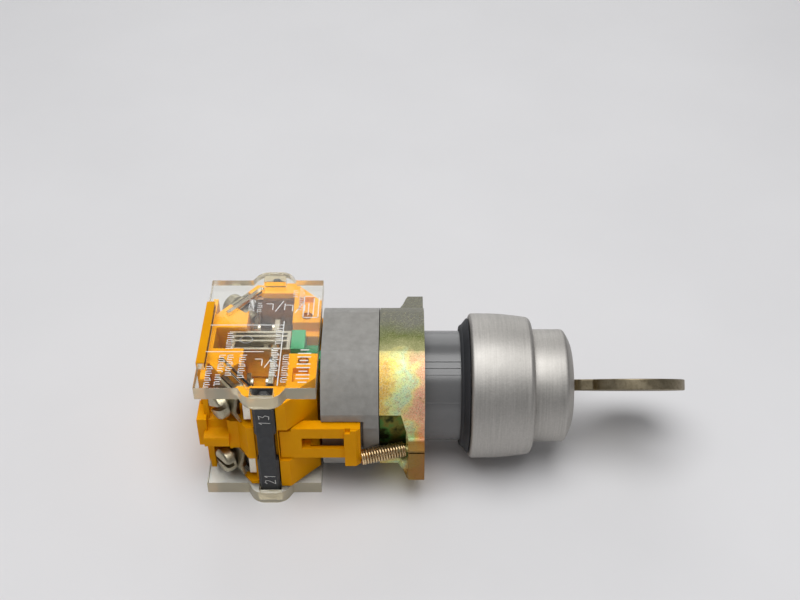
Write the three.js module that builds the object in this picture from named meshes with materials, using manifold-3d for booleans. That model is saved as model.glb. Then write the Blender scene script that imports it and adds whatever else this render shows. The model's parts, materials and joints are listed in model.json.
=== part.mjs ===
// Key-operated selector switch for a 22.5 mm panel hole, with a snap-on contact block.
//
// Millimetres. The switch frame has +X along the barrel towards the key, the barrel axis at z = 0
// and x = 0 at the front face of the panel. The exported group moves that frame so that the origin
// is the middle of the underside, with the switch lying on its flats.

import * as THREE from "three";
import { mergeVertices } from "three/addons/utils/BufferGeometryUtils.js";
import Module from "manifold-3d";

const wasm = await Module();
wasm.setup();

// ---------------------------------------------------------------- driving dimensions

const GAP = 0.15; // clearance between pieces that touch

const FLAT = 14.7; // half height of every flat that the switch can lie on
const SIDE_FLAT = 14.6; // half width of the adapter and flange between their side flats
const BODY_R = 15.8; // rounded corners of the adapter and flange

const BARREL_R = 11.15; // fits a 22.5 mm hole
const BARREL_BORE = 8.8;
const BEZEL_R = 14.7;
const GUARD_R = 11.45;
const GUARD_FRONT = 22.5;
const BARREL_FRONT = 11.5;
const BARREL_REAR = -18.9;

const FLANGE_FACE = -7.2; // the face that the panel is clamped against
const FLANGE_REAR = -16;
const ADAPTER_FRONT = -16.1;
const ADAPTER_REAR = -27.3;

const PLUG_R = 6;
const PLUG_REAR = -9;
const KEY_TIP = 46; // far end of the key's bow
const KEY_HALF_THICKNESS = 1.1;
const BLADE_HALF_WIDTH = 3.7;
const WAFER_XS = [1.5, 4.9, 8.3, 11.7, 15.1];
const WAFER_THICKNESS = 1;

const KEY_REST = -Math.PI / 4; // the key stands at 45 degrees, and turns clockwise seen from the front
const KEY_TURN = Math.PI / 2;
const PLUNGER_TRAVEL = 2.4;
const RAMP_LOW = -24.5; // rear face of the cam where a plunger is released
const PLUNGER_LEVEL = 7; // height of each contact pair above and below the axis

const BLOCK_FRONT = -28.1;
const BLOCK_REAR = -51.6;
const BLOCK_HALF_HEIGHT = 11.6;
const DECK = 3.1; // half thickness of the floor between the two contact pairs
const COVER_HALF_DEPTH = 16;
const COVER_BOTTOM = 11.75;
const TAB_X = -37.9;
const TAB_REACH = 18.75;
const STRIP_HALF_WIDTH = 2.1;
const STRIP_FACE = -17.6;
const WALL_FACE = -16.9; // front wall of the block beside the strip

// The rear corners of the block are cut off by a slanted face that carries the terminals.
const SLANT_REAR = new THREE.Vector2(-49.2, -7);
const SLANT_FRONT = new THREE.Vector2(-41.6, -16.3);
const TERMINAL_X = -44.8;
const TERMINAL_Y = -12.4;

const LATCH_PIVOT = new THREE.Vector2(-34.1, -15.35);
const LATCH_PIN_R = 0.5;
const LATCH_END = -19.7;
const LATCH_INNER = -14;
const LATCH_OUTER = -16.3;
const LATCH_GROOVE = 13.75; // depth of the adapter's grooves for the latch and the fixed hook
const LATCH_HALF_HEIGHT = 4;
const SPRING_LEVEL = -4.2;
const SPRING_START = new THREE.Vector3(-19.1, -15.9, SPRING_LEVEL);
const SPRING_END = new THREE.Vector3(-11.1, -13.75, SPRING_LEVEL);

const SEGMENTS = 48; // round surfaces that show
const FINE = 24; // smaller round surfaces
const COARSE = 12; // screws and pins

// ---------------------------------------------------------------- materials

const finish = (color, roughness, metalness, more = {}) =>
  new THREE.MeshStandardMaterial({ color, roughness, metalness, ...more });

const MATERIALS = {
  satinAluminium: finish(0xb4b1ac, 0.38, 1),
  greyPlastic: finish(0x74757a, 0.42, 0),
  blackRubber: finish(0x222527, 0.75, 0),
  chromatedZinc: finish(0xb9a14a, 0.36, 1),
  nickelSilver: finish(0x8f876a, 0.42, 1),
  brass: finish(0xb5995a, 0.35, 1),
  steel: finish(0xa8a69e, 0.3, 1),
  springSteel: finish(0x9a8560, 0.3, 1),
  yellowPlastic: finish(0xe59a05, 0.45, 0),
  clearPlastic: finish(0xf0efe6, 0.08, 0, { transparent: true, opacity: 0.3 }),
  blackPlastic: finish(0x2b2d31, 0.55, 0),
  whitePlastic: finish(0xd9d5c8, 0.5, 0),
  greenPlastic: finish(0x2c9a5c, 0.45, 0),
  redPlastic: finish(0xb23327, 0.45, 0),
  silver: finish(0xc9c5ba, 0.28, 1),
};

// ---------------------------------------------------------------- solids

function solid(geometry) {
  const bare = geometry.index ? geometry.toNonIndexed() : geometry.clone();
  for (const name of Object.keys(bare.attributes)) {
    if (name !== "position") bare.deleteAttribute(name);
  }
  const merged = mergeVertices(bare, 1e-4);
  const mesh = (triVerts) =>
    new wasm.Manifold(
      new wasm.Mesh({ numProp: 3, vertProperties: merged.attributes.position.array, triVerts }),
    );
  const triangles = new Uint32Array(merged.index.array);
  const made = mesh(triangles);
  return made.volume() < 0 ? mesh(triangles.reverse()) : made;
}

function geometryOf(manifold) {
  const mesh = manifold.getMesh();
  const geometry = new THREE.BufferGeometry();
  geometry.setAttribute("position", new THREE.BufferAttribute(mesh.vertProperties, 3));
  geometry.setIndex(new THREE.BufferAttribute(mesh.triVerts, 1));
  geometry.computeVertexNormals();
  return geometry;
}

const join = (first, ...others) => others.reduce((made, other) => made.add(other), first);
const cut = (first, ...others) => others.reduce((made, other) => made.subtract(other), first);

function moved(geometry, matrix) {
  return solid(geometry.applyMatrix4(matrix));
}

function box([x0, x1], [y0, y1], [z0, z1], matrix = new THREE.Matrix4()) {
  const geometry = new THREE.BoxGeometry(x1 - x0, y1 - y0, z1 - z0);
  geometry.translate((x0 + x1) / 2, (y0 + y1) / 2, (z0 + z1) / 2);
  return moved(geometry, matrix);
}

// A solid of revolution about the X axis; the profile's points are [x, radius].
function turned(profile, segments = SEGMENTS) {
  const points = profile.map(([x, r]) => new THREE.Vector2(r, x));
  const onAxis = profile[0][1] === 0 && profile[profile.length - 1][1] === 0;
  if (!onAxis) points.push(points[0].clone());
  const geometry = new THREE.LatheGeometry(points, segments);
  geometry.rotateZ(-Math.PI / 2);
  return solid(geometry);
}

const tube = (x0, x1, inner, outer, segments) =>
  turned([[x0, inner], [x0, outer], [x1, outer], [x1, inner]], segments);

const rod = (x0, x1, radius, segments) =>
  turned([[x0, 0], [x0, radius], [x1, radius], [x1, 0]], segments);

function rodBetween(start, end, radius, segments = COARSE) {
  const along = new THREE.Vector3().subVectors(end, start);
  const geometry = new THREE.CylinderGeometry(radius, radius, along.length(), segments);
  const turn = new THREE.Quaternion().setFromUnitVectors(
    new THREE.Vector3(0, 1, 0),
    along.clone().normalize(),
  );
  const middle = new THREE.Vector3().addVectors(start, end).multiplyScalar(0.5);
  return moved(geometry, new THREE.Matrix4().compose(middle, turn, new THREE.Vector3(1, 1, 1)));
}

const uprightRod = (x, y, z0, z1, radius, segments) =>
  rodBetween(new THREE.Vector3(x, y, z0), new THREE.Vector3(x, y, z1), radius, segments);

const shapeOf = (points) => new THREE.Shape(points.map(([a, b]) => new THREE.Vector2(a, b)));

// An outline in plan, extruded upwards.
function prism(shape, [z0, z1], curveSegments = 6) {
  const geometry = new THREE.ExtrudeGeometry(shape, {
    depth: z1 - z0,
    bevelEnabled: false,
    curveSegments,
  });
  geometry.translate(0, 0, z0);
  return solid(geometry);
}

// An outline in the YZ plane, extruded along X.
function section(shape, [x0, x1], curveSegments = 4) {
  const geometry = new THREE.ExtrudeGeometry(shape, {
    depth: x1 - x0,
    bevelEnabled: false,
    curveSegments,
  });
  geometry.translate(0, 0, x0);
  const turn = new THREE.Matrix4().makeBasis(
    new THREE.Vector3(0, 1, 0),
    new THREE.Vector3(0, 0, 1),
    new THREE.Vector3(1, 0, 0),
  );
  return moved(geometry, turn);
}

// A circle of radius r with flats cut at +-halfY and +-halfZ, as the adapter and flange have.
function flattenedCircle(r, halfY, halfZ) {
  const low = Math.asin(Math.sqrt(r * r - halfY * halfY) / r);
  const high = Math.acos(Math.sqrt(r * r - halfZ * halfZ) / r);
  const shape = new THREE.Shape();
  for (const quarter of [0, 1, 2, 3]) {
    const odd = quarter % 2 === 1;
    const from = (quarter * Math.PI) / 2 + (odd ? Math.PI / 2 - high : low);
    const to = (quarter * Math.PI) / 2 + (odd ? Math.PI / 2 - low : high);
    shape.absarc(0, 0, r, from, to, false);
  }
  return shape;
}

class Helix extends THREE.Curve {
  constructor(start, end, radius, turns) {
    super();
    this.start = start;
    this.end = end;
    this.radius = radius;
    this.turns = turns;
    this.along = new THREE.Vector3().subVectors(end, start).normalize();
    this.side = new THREE.Vector3(0, 0, 1).cross(this.along);
    if (this.side.length() < 0.01) this.side.set(0, 1, 0);
    this.side.normalize();
    this.up = new THREE.Vector3().crossVectors(this.along, this.side);
  }

  getPoint(t, target = new THREE.Vector3()) {
    const angle = 2 * Math.PI * this.turns * t;
    return target
      .lerpVectors(this.start, this.end, t)
      .addScaledVector(this.side, this.radius * Math.cos(angle))
      .addScaledVector(this.up, this.radius * Math.sin(angle));
  }
}

function coil(start, end, radius, wireRadius, turns, stepsPerTurn = 9) {
  const wire = new THREE.Shape().absarc(0, 0, wireRadius, 0, 2 * Math.PI, false);
  const geometry = new THREE.ExtrudeGeometry(wire, {
    steps: Math.round(turns * stepsPerTurn),
    extrudePath: new Helix(start, end, radius, turns),
    curveSegments: 2.5,
    bevelEnabled: false,
  });
  return solid(geometry);
}

// ---------------------------------------------------------------- assembly helpers

const assembly = new THREE.Group();

function add(name, manifold, material, parent = assembly) {
  const mesh = new THREE.Mesh(geometryOf(manifold), material);
  mesh.name = name;
  parent.add(mesh);
  return mesh;
}

// ---------------------------------------------------------------- front: bezel, seal, barrel, guard

function makeBezel() {
  return turned([
    [1.9, 11.4],
    [1.9, 14.2],
    [2.2, BEZEL_R],
    [6.3, BEZEL_R],
    [14.3, 13.85],
    [14.95, 13.45],
    [15.2, 12.8],
    [15.2, GUARD_R + 0.2],
    [11.6, GUARD_R + 0.2],
    [11.6, 11.4],
  ]);
}

function makeSeal() {
  return turned([[0, 11.3], [0, 12.3], [1.6, 13.8], [1.75, 13.6], [1.75, 11.3]]);
}

function makeBarrel() {
  return tube(BARREL_REAR, BARREL_FRONT, BARREL_BORE, BARREL_R);
}

function makeGuard() {
  return turned([
    [11.8, 9],
    [11.8, GUARD_R],
    [21.1, GUARD_R],
    [22.1, 10.9],
    [GUARD_FRONT, 9.9],
    [GUARD_FRONT, 7],
    [21.4, 7],
    [21.4, 9],
  ]);
}

// ---------------------------------------------------------------- lock

function makeLockBody() {
  const body = tube(-5, 21.2, PLUG_R + GAP, 8.6, 36);
  // Two channels inside the bore, into which the wafers spring when the key is out.
  const channels = [1, -1].map((side) =>
    box([WAFER_XS[0] - 1, WAFER_XS[4] + 1], side > 0 ? [5, 7.2] : [-7.2, -5], [-2.6, 2.6]),
  );
  return cut(body, ...channels);
}

function makePlug() {
  const round = turned(
    [[PLUG_REAR, 0], [PLUG_REAR, PLUG_R], [-5.95, PLUG_R], [-5.95, 5], [-5.05, 5], [-5.05, PLUG_R],
      [22.2, PLUG_R], [22.2, 0]],
    36,
  );
  const keyway = box([-3, 23], [-3.95, 3.95], [-1.3, 1.3]);
  const socket = box([PLUG_REAR - 1, PLUG_REAR + 3], [-2.2, 2.2], [-2.2, 2.2]);
  const slots = WAFER_XS.map((x) =>
    box([x - WAFER_THICKNESS / 2 - GAP, x + WAFER_THICKNESS / 2 + GAP], [-7, 7], [-2.4, 2.4]),
  );
  return cut(round, keyway, socket, ...slots);
}

function makeWafer() {
  const half = WAFER_THICKNESS / 2;
  const plate = box([-half, half], [-5.4, 5.4], [-2.2, 2.2]);
  return cut(plate, box([-1, 1], [-4.1, 4.1], [-1.4, 1.4]));
}

function makePlugClip() {
  const ring = tube(-5.85, -5.15, 5.2, 7.4, FINE);
  return cut(ring, box([-7, -4], [-2.4, 2.4], [-9, 0]));
}

function makeDriveShaft() {
  return join(
    box([-22, PLUG_REAR + 2.8], [-2, 2], [-2, 2]),
    rod(-18.6, -9.4, 3.1, FINE),
  );
}

// The cam pushes both plungers with helical ramps, so plunger travel follows the key's angle.
function rampRise(angle) {
  const ends = 0.25; // the ramp runs on past each end of the key's turn, under the plunger's width
  const slope = PLUNGER_TRAVEL / KEY_TURN;
  const half = ((angle % Math.PI) + Math.PI) % Math.PI;
  const rampEnd = KEY_TURN + 2 * ends;
  const lowest = -slope * ends;
  const highest = lowest + slope * rampEnd;
  if (half <= rampEnd) return lowest + slope * half;
  return highest + ((lowest - highest) * (half - rampEnd)) / (Math.PI - rampEnd);
}

function rampRing(inner, outer, frontX, steps = 48) {
  const positions = [];
  const indices = [];
  const startAngle = Math.PI / 2 - 0.25;
  for (let i = 0; i < steps; i += 1) {
    const turn = (2 * Math.PI * i) / steps;
    const angle = startAngle + turn;
    const rearX = RAMP_LOW - rampRise(turn);
    for (const [r, x] of [[inner, frontX], [outer, frontX], [outer, rearX], [inner, rearX]]) {
      positions.push(x, r * Math.cos(angle), r * Math.sin(angle));
    }
    for (let k = 0; k < 4; k += 1) {
      const a = i * 4 + k;
      const b = i * 4 + ((k + 1) % 4);
      const next = ((i + 1) % steps) * 4;
      const c = next + k;
      const d = next + ((k + 1) % 4);
      indices.push(a, c, b, b, c, d);
    }
  }
  const geometry = new THREE.BufferGeometry();
  geometry.setAttribute("position", new THREE.Float32BufferAttribute(positions, 3));
  geometry.setIndex(indices);
  return solid(geometry);
}

function makeCam() {
  const rimRadius = 9.3;
  const disc = rod(-23.2, -20.2, rimRadius, 36);
  const ramps = rampRing(4.6, 8.9, -23);
  const hub = rod(-20.5, -19.4, 4.6, FINE);
  const notches = [Math.PI / 2, Math.PI / 2 + KEY_TURN].map((angle) => {
    const y = (rimRadius + 0.6) * Math.cos(angle);
    const z = (rimRadius + 0.6) * Math.sin(angle);
    return rodBetween(new THREE.Vector3(-25, y, z), new THREE.Vector3(-18, y, z), 1.2);
  });
  const turnedToKey = new THREE.Matrix4().makeRotationX(KEY_REST);
  const socket = box([-24, -18], [-2.15, 2.15], [-2.15, 2.15], turnedToKey);
  return cut(join(disc, ramps, hub), socket, ...notches);
}

const DETENT_X = -21.7;

function makeDetentBall() {
  const geometry = new THREE.SphereGeometry(1.2, COARSE, 8);
  geometry.translate(DETENT_X, 0, 10.7);
  return solid(geometry);
}

function makeDetentSpring() {
  const start = new THREE.Vector3(DETENT_X, 0, 12.2);
  const end = new THREE.Vector3(DETENT_X, 0, 13.5);
  return coil(start, end, 0.9, 0.18, 2.5, 8);
}

// ---------------------------------------------------------------- key

function makeKey() {
  const bowCentre = 35.6;
  const bowRadius = KEY_TIP - bowCentre;
  const neckHalfWidth = 4.6;
  const joinAngle = Math.PI - Math.asin(neckHalfWidth / bowRadius);
  const shape = new THREE.Shape();
  shape.moveTo(-2.6, 0.8);
  shape.lineTo(-2.6, -0.8);
  shape.lineTo(-0.4, -BLADE_HALF_WIDTH);
  for (const x of WAFER_XS) {
    const depth = x % 2 > 1 ? 0.9 : 0.55;
    shape.lineTo(x - 1.2, -BLADE_HALF_WIDTH);
    shape.lineTo(x - 0.4, -BLADE_HALF_WIDTH + depth);
    shape.lineTo(x + 0.4, -BLADE_HALF_WIDTH + depth);
    shape.lineTo(x + 1.2, -BLADE_HALF_WIDTH);
  }
  shape.lineTo(23.2, -BLADE_HALF_WIDTH);
  shape.lineTo(24.2, -neckHalfWidth);
  shape.absarc(bowCentre, 0, bowRadius, -joinAngle, joinAngle, false);
  shape.lineTo(24.2, neckHalfWidth);
  shape.lineTo(23.2, BLADE_HALF_WIDTH);
  for (const x of [...WAFER_XS].reverse()) {
    const depth = x % 2 > 1 ? 0.55 : 0.9;
    shape.lineTo(x + 1.2, BLADE_HALF_WIDTH);
    shape.lineTo(x + 0.4, BLADE_HALF_WIDTH - depth);
    shape.lineTo(x - 0.4, BLADE_HALF_WIDTH - depth);
    shape.lineTo(x - 1.2, BLADE_HALF_WIDTH);
  }
  shape.lineTo(-0.4, BLADE_HALF_WIDTH);
  shape.holes.push(new THREE.Path().absarc(42, 0, 2.5, 0, 2 * Math.PI, true));
  const blank = prism(shape, [-KEY_HALF_THICKNESS, KEY_HALF_THICKNESS], 10);
  const groove = [0.65, -2].map((z) => box([-3, 22], [-0.8, 0.8], [z, z + 1.35]));
  return cut(blank, ...groove);
}

// ---------------------------------------------------------------- adapter between barrel and block

const HOOK_XS = [-21.9, -19.2];

function makeAdapter() {
  const body = section(flattenedCircle(BODY_R, SIDE_FLAT, FLAT), [ADAPTER_REAR, ADAPTER_FRONT]);
  const barrelSeat = rod(BARREL_REAR - GAP, ADAPTER_FRONT + 1, BARREL_R + GAP, SEGMENTS);
  const camChamber = rod(ADAPTER_REAR - 1, BARREL_REAR, 9.6, SEGMENTS);
  const inward = (depth, side) => (side > 0 ? [depth, 17] : [-17, -depth]);
  const hookNotches = [1, -1].flatMap((side) => [
    box(HOOK_XS, inward(12.9, side), [-4.25, 4.25]),
    box([ADAPTER_REAR - 1, ADAPTER_FRONT + 1], inward(LATCH_GROOVE, side), [-4.25, 4.25]),
  ]);
  const detentHole = rodBetween(
    new THREE.Vector3(DETENT_X, 0, 9),
    new THREE.Vector3(DETENT_X, 0, 13.8),
    1.4,
    COARSE,
  );
  const alongSpring = new THREE.Vector3().subVectors(SPRING_END, SPRING_START).normalize();
  const springGroove = rodBetween(
    SPRING_START.clone().addScaledVector(alongSpring, -2.4),
    SPRING_START.clone().addScaledVector(alongSpring, 6),
    1.95,
    16,
  );
  return cut(body, barrelSeat, camChamber, detentHole, springGroove, ...hookNotches);
}

// ---------------------------------------------------------------- die-cast mounting flange

const LUG_OUTER = 18;
const LUG_LEVELS = [-8.6, -0.3];
const CLAMP_SCREW_Y = -16.2;
const CLAMP_SCREW_Z = -6.9;
const CLAMP_SCREW_R = 1.25;

function makeFlange() {
  const body = section(flattenedCircle(BODY_R, SIDE_FLAT, FLAT), [FLANGE_REAR, FLANGE_FACE]);
  const cavityFloor = -10.8;
  const cavity = cut(
    section(flattenedCircle(BODY_R - 1.6, SIDE_FLAT - 1.5, FLAT - 1.5), [FLANGE_REAR - 1, cavityFloor]),
    rod(FLANGE_REAR - 1, cavityFloor + 1, 12.3),
  );
  const bore = rod(FLANGE_REAR - 2, FLANGE_FACE + 2, BARREL_R + GAP);
  const lugPlan = shapeOf([
    [-11.8, -13.5],
    [-11.8, -16.5],
    [-10.3, -LUG_OUTER],
    [FLANGE_FACE, -LUG_OUTER],
    [FLANGE_FACE, -13.5],
  ]);
  const lug = prism(lugPlan, LUG_LEVELS);
  const windowOutline = shapeOf([[6, -17], [6, -11.8], [-0.3, -10.4], [-6.1, -10.4], [-6.1, -17]]);
  const windowCut = prism(windowOutline, [-20, -13]);
  // The window's outline is drawn as [z, x] and extruded along y.
  const windowTurn = new THREE.Matrix4().makeBasis(
    new THREE.Vector3(0, 0, 1),
    new THREE.Vector3(1, 0, 0),
    new THREE.Vector3(0, 1, 0),
  );
  const windowSolid = moved(geometryOf(windowCut), windowTurn);
  const screwHole = rodBetween(
    new THREE.Vector3(-14, CLAMP_SCREW_Y, CLAMP_SCREW_Z),
    new THREE.Vector3(-5, CLAMP_SCREW_Y, CLAMP_SCREW_Z),
    CLAMP_SCREW_R + 0.1,
  );
  const peg = rodBetween(
    new THREE.Vector3(-12.6, SPRING_END.y, SPRING_LEVEL),
    new THREE.Vector3(cavityFloor + 1, SPRING_END.y, SPRING_LEVEL),
    0.7,
    8,
  );
  const halfTurn = (made) => made.rotate([180, 0, 0]);
  const cast = join(body, lug, halfTurn(lug));
  return join(
    cut(cast, cavity, bore, windowSolid, halfTurn(windowSolid), screwHole, halfTurn(screwHole)),
    peg,
  );
}

function makeClampScrew() {
  const body = rod(-10.3, FLANGE_FACE - 0.05, CLAMP_SCREW_R, COARSE);
  return cut(body, box([-11, -9.6], [-2, 2], [-0.25, 0.25]));
}

// ---------------------------------------------------------------- latch

function makeLatch() {
  const level = [-LATCH_HALF_HEIGHT, LATCH_HALF_HEIGHT];
  const root = box([LATCH_PIVOT.x - 1.2, LATCH_PIVOT.x + 2.6], [LATCH_OUTER, -14.5], level);
  const arm = box([LATCH_PIVOT.x + 2.4, LATCH_END], [LATCH_OUTER, LATCH_INNER], level);
  const block = prism(
    shapeOf([
      [-22.8, -14.8],
      [-22.8, -16.8],
      [-20.6, -16.8],
      [LATCH_END, -16],
      [LATCH_END, -14.8],
    ]),
    [-5.9, 3.9],
  );
  const nub = box([HOOK_XS[0] + 0.3, HOOK_XS[1] - 0.9], [LATCH_INNER - 0.2, -13.2], [-3.8, 3.8]);
  const opening = box([-31.1, -22.9], [-18, -13], [-1.4, 1.4]);
  const peg = rodBetween(
    new THREE.Vector3(-19.9, SPRING_START.y + 0.2, SPRING_LEVEL),
    new THREE.Vector3(-18.2, SPRING_START.y + 0.45, SPRING_LEVEL),
    0.6,
    8,
  );
  const pinHole = uprightRod(LATCH_PIVOT.x, LATCH_PIVOT.y, -9, 9, LATCH_PIN_R + 0.1);
  return cut(join(arm, root, block, nub, peg), opening, pinHole);
}

const makeLatchPin = () => uprightRod(LATCH_PIVOT.x, LATCH_PIVOT.y, -6.4, 6.4, LATCH_PIN_R);

const makeLatchSpring = () => coil(SPRING_START, SPRING_END, 1.4, 0.2, 12, 9);

// ---------------------------------------------------------------- contact block housing

const slantAlong = new THREE.Vector2().subVectors(SLANT_FRONT, SLANT_REAR).normalize();
const SLANT_TURN = Math.atan2(-slantAlong.x, slantAlong.y); // turns +X to the slant's outward normal

// The terminal frame has +X out of the slanted face, and its origin on that face.
const terminalMatrix = new THREE.Matrix4().compose(
  new THREE.Vector3(TERMINAL_X, TERMINAL_Y, PLUNGER_LEVEL),
  new THREE.Quaternion().setFromAxisAngle(new THREE.Vector3(0, 0, 1), SLANT_TURN),
  new THREE.Vector3(1, 1, 1),
);

const mirrored = (manifold, side, level) => {
  const mirror = new THREE.Matrix4().makeScale(1, side, level);
  return solid(geometryOf(manifold).applyMatrix4(mirror));
};

const CORNERS = [[1, 1], [1, -1], [-1, 1], [-1, -1]];

function blockPlan() {
  const front = [
    [-50, SLANT_REAR.y + 1],
    [SLANT_REAR.x, SLANT_REAR.y],
    [SLANT_FRONT.x, SLANT_FRONT.y],
    [-40.2, SLANT_FRONT.y],
    [-40.2, -15.7],
    [-35.6, -15.7],
    [-35.6, WALL_FACE],
    [-33.7, WALL_FACE],
    [BLOCK_FRONT, -11.3],
  ];
  const back = front.map(([x, y]) => [x, -y]).reverse();
  return shapeOf([...front, ...back]);
}

function makeContactHousing() {
  const body = prism(blockPlan(), [-BLOCK_HALF_HEIGHT, BLOCK_HALF_HEIGHT]);
  const rearWall = box([BLOCK_REAR, -49.7], [-9, 9], [-FLAT, FLAT]);
  const shelf = join(
    box([BLOCK_REAR, -49.7], [-12.2, 12.2], [-3, 3]),
    box([-50.3, -45.5], [-13.8, 13.8], [-2.2, 2.2]),
    box([-45.7, -42], [-12.9, 12.9], [-3.7, 3.7]),
    box([-42.2, -40.2], [-15.7, 15.7], [-4.3, 4.3]),
  );
  const hook = join(
    box([-34, LATCH_END], [-LATCH_INNER, -LATCH_OUTER], [-4, 4]),
    box([HOOK_XS[0] + 0.3, HOOK_XS[1] - 0.9], [13.2, -LATCH_OUTER], [-3.8, 3.8]),
  );

  const corner = [
    box([-4.3, 0.6], [-2.3, 2.3], [-3.3, 6], terminalMatrix), // room for the screw's shank
    box([-5, 0.5], [2.4, 4], [-3.3, 6], terminalMatrix), // slot for the terminal's bend
    box([-42.6, -33.6], [-13.7, 1], [DECK, 15]), // room for the contact bridge
    box([-48.6, BLOCK_FRONT + 1], [-3.1, 1], [DECK, 15]), // slot for the plunger
    uprightRod(-30.7, -6.6, 8.8, 13, 1.1, 10), // seat for a cover peg
  ];
  const rooms = CORNERS.flatMap(([side, level]) =>
    corner.map((room) => mirrored(room, side, level)),
  );
  const latchRoom = join(
    box([-35.5, -27], [-20, -14.2], [-4.3, 4.3]),
    box([-31.9, -27], [-20, -13.8], [-4.3, 4.3]),
  );
  const pinHole = uprightRod(LATCH_PIVOT.x, LATCH_PIVOT.y, -6.6, 6.6, LATCH_PIN_R + 0.07);
  return cut(join(body, rearWall, shelf, hook), ...rooms, latchRoom, pinHole);
}

// ---------------------------------------------------------------- clear covers and marking strips

function coverPlan() {
  const tabBase = 4.3;
  const tabTip = 2.2;
  const front = [
    [-49.5, -9.2],
    [-50.8, -9.2],
    [-50.8, -COVER_HALF_DEPTH],
    [TAB_X - tabBase, -COVER_HALF_DEPTH],
    [TAB_X - tabTip, -TAB_REACH],
    [TAB_X + tabTip, -TAB_REACH],
    [TAB_X + tabBase, -COVER_HALF_DEPTH],
    [-27.8, -COVER_HALF_DEPTH],
  ];
  const back = front.map(([x, y]) => [x, -y]).reverse();
  return shapeOf([...front, ...back]);
}

function makeCover() {
  const plate = prism(coverPlan(), [COVER_BOTTOM, FLAT]);
  const ribFoot = COVER_BOTTOM - 1.4 - PLUNGER_LEVEL;
  const ribTop = COVER_BOTTOM + 0.2 - PLUNGER_LEVEL;
  const rib = box([0.2, 1.3], [-6, 4.4], [ribFoot, ribTop], terminalMatrix);
  const peg = uprightRod(-30.7, -6.6, 9.6, COVER_BOTTOM + 0.2, 0.85, 10);
  const pocket = box(
    [TAB_X - STRIP_HALF_WIDTH - GAP, TAB_X + STRIP_HALF_WIDTH + GAP],
    [STRIP_FACE - GAP, -15.7],
    [COVER_BOTTOM - 1, 14.3],
  );
  const bothSides = (made) => [made, mirrored(made, -1, 1)];
  return cut(join(plate, ...bothSides(rib), ...bothSides(peg)), ...bothSides(pocket));
}

function makeMarkingStrip() {
  const half = STRIP_HALF_WIDTH;
  const bevel = 0.6;
  const plan = shapeOf([
    [TAB_X - half, -15.85],
    [TAB_X - half, STRIP_FACE + bevel],
    [TAB_X - half + bevel, STRIP_FACE],
    [TAB_X + half - bevel, STRIP_FACE],
    [TAB_X + half, STRIP_FACE + bevel],
    [TAB_X + half, -15.85],
  ]);
  return prism(plan, [-14.1, 14.1]);
}

// ---------------------------------------------------------------- contacts, in the upper position

const BRIDGE_XS = [-37.6, -36.6];
const CARRIER_FLOOR = 3.6;

function makePlunger() {
  const level = PLUNGER_LEVEL;
  const head = box([-33.5, -30.8], [-2.8, 2.8], [CARRIER_FLOOR, 11.2]);
  const stem = box([-31, RAMP_LOW - 1.2], [-1.3, 1.3], [level - 1.4, level + 1.4]);
  // The nose is a ridge, so that it touches the ramp along one line.
  const noseTip = RAMP_LOW - 0.12;
  const nose = section(
    shapeOf([[-0.5, level - 1.1], [0.5, level - 1.1], [0.5, level + 1.1], [-0.5, level + 1.1]]),
    [noseTip - 1.5, noseTip - 0.15],
  );
  return join(head, stem, nose);
}

function makeCarrier() {
  const base = box([-46, -33.7], [-2.7, 2.7], [CARRIER_FLOOR, CARRIER_FLOOR + 1]);
  const rails = [2.2, -2.7].map((y) => box([-46, -33.7], [y, y + 0.5], [CARRIER_FLOOR, 9.4]));
  const springStop = box([-39.3, -38.4], [-2.7, 2.7], [CARRIER_FLOOR, 8.2]);
  const bridgeRoom = box(
    [BRIDGE_XS[0] - 0.25, BRIDGE_XS[1] + 0.25],
    [-4, 4],
    [PLUNGER_LEVEL - 1.5, 11],
  );
  return cut(join(base, ...rails, springStop), bridgeRoom);
}

// tipFace is the side of the bridge that carries the two contact tips: -1 is the rear, 1 the front.
function makeBridge(tipFace) {
  const bar = box(BRIDGE_XS, [-9.4, 9.4], [PLUNGER_LEVEL - 1.2, PLUNGER_LEVEL + 1.2]);
  const face = tipFace < 0 ? BRIDGE_XS[0] : BRIDGE_XS[1];
  const tips = [-8, 8].map((y) =>
    rodBetween(
      new THREE.Vector3(face - tipFace * 0.2, y, PLUNGER_LEVEL),
      new THREE.Vector3(face + tipFace * 0.5, y, PLUNGER_LEVEL),
      0.95,
      10,
    ),
  );
  return join(bar, ...tips);
}

const makeReturnSpring = () =>
  coil(
    new THREE.Vector3(-48.3, 0, PLUNGER_LEVEL - 0.4),
    new THREE.Vector3(-39.6, 0, PLUNGER_LEVEL - 0.4),
    1.5,
    0.22,
    8,
    9,
  );

// The fixed contact of a pair. tipX is where its contact tip starts, and tipFace the way it points.
function makeTerminal(tipX, tipFace) {
  const z = PLUNGER_LEVEL;
  const plate = box([0.15, 0.95], [-3, 3.7], [-2.9, 2.9], terminalMatrix);
  const bend = box([-3.4, 0.95], [2.9, 3.7], [-1.4, 1.4], terminalMatrix);
  const armX = tipFace > 0 ? [tipX - 0.8, tipX] : [tipX, tipX + 0.8];
  const arm = box(armX, [-13.4, -6.4], [z - 1.2, z + 1.2]);
  const link = box([Math.min(-41.6, armX[0]), Math.max(-40.6, armX[1])], [-13.5, -12.7], [z - 1.2, z + 1.2]);
  const tip = rodBetween(
    new THREE.Vector3(tipX - tipFace * 0.2, -8, z),
    new THREE.Vector3(tipX + tipFace * 0.45, -8, z),
    0.9,
    10,
  );
  const screwHole = moved(
    new THREE.CylinderGeometry(1.6, 1.6, 4, COARSE).rotateZ(Math.PI / 2),
    terminalMatrix,
  );
  return cut(join(plate, bend, link, arm, tip), screwHole);
}

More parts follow.
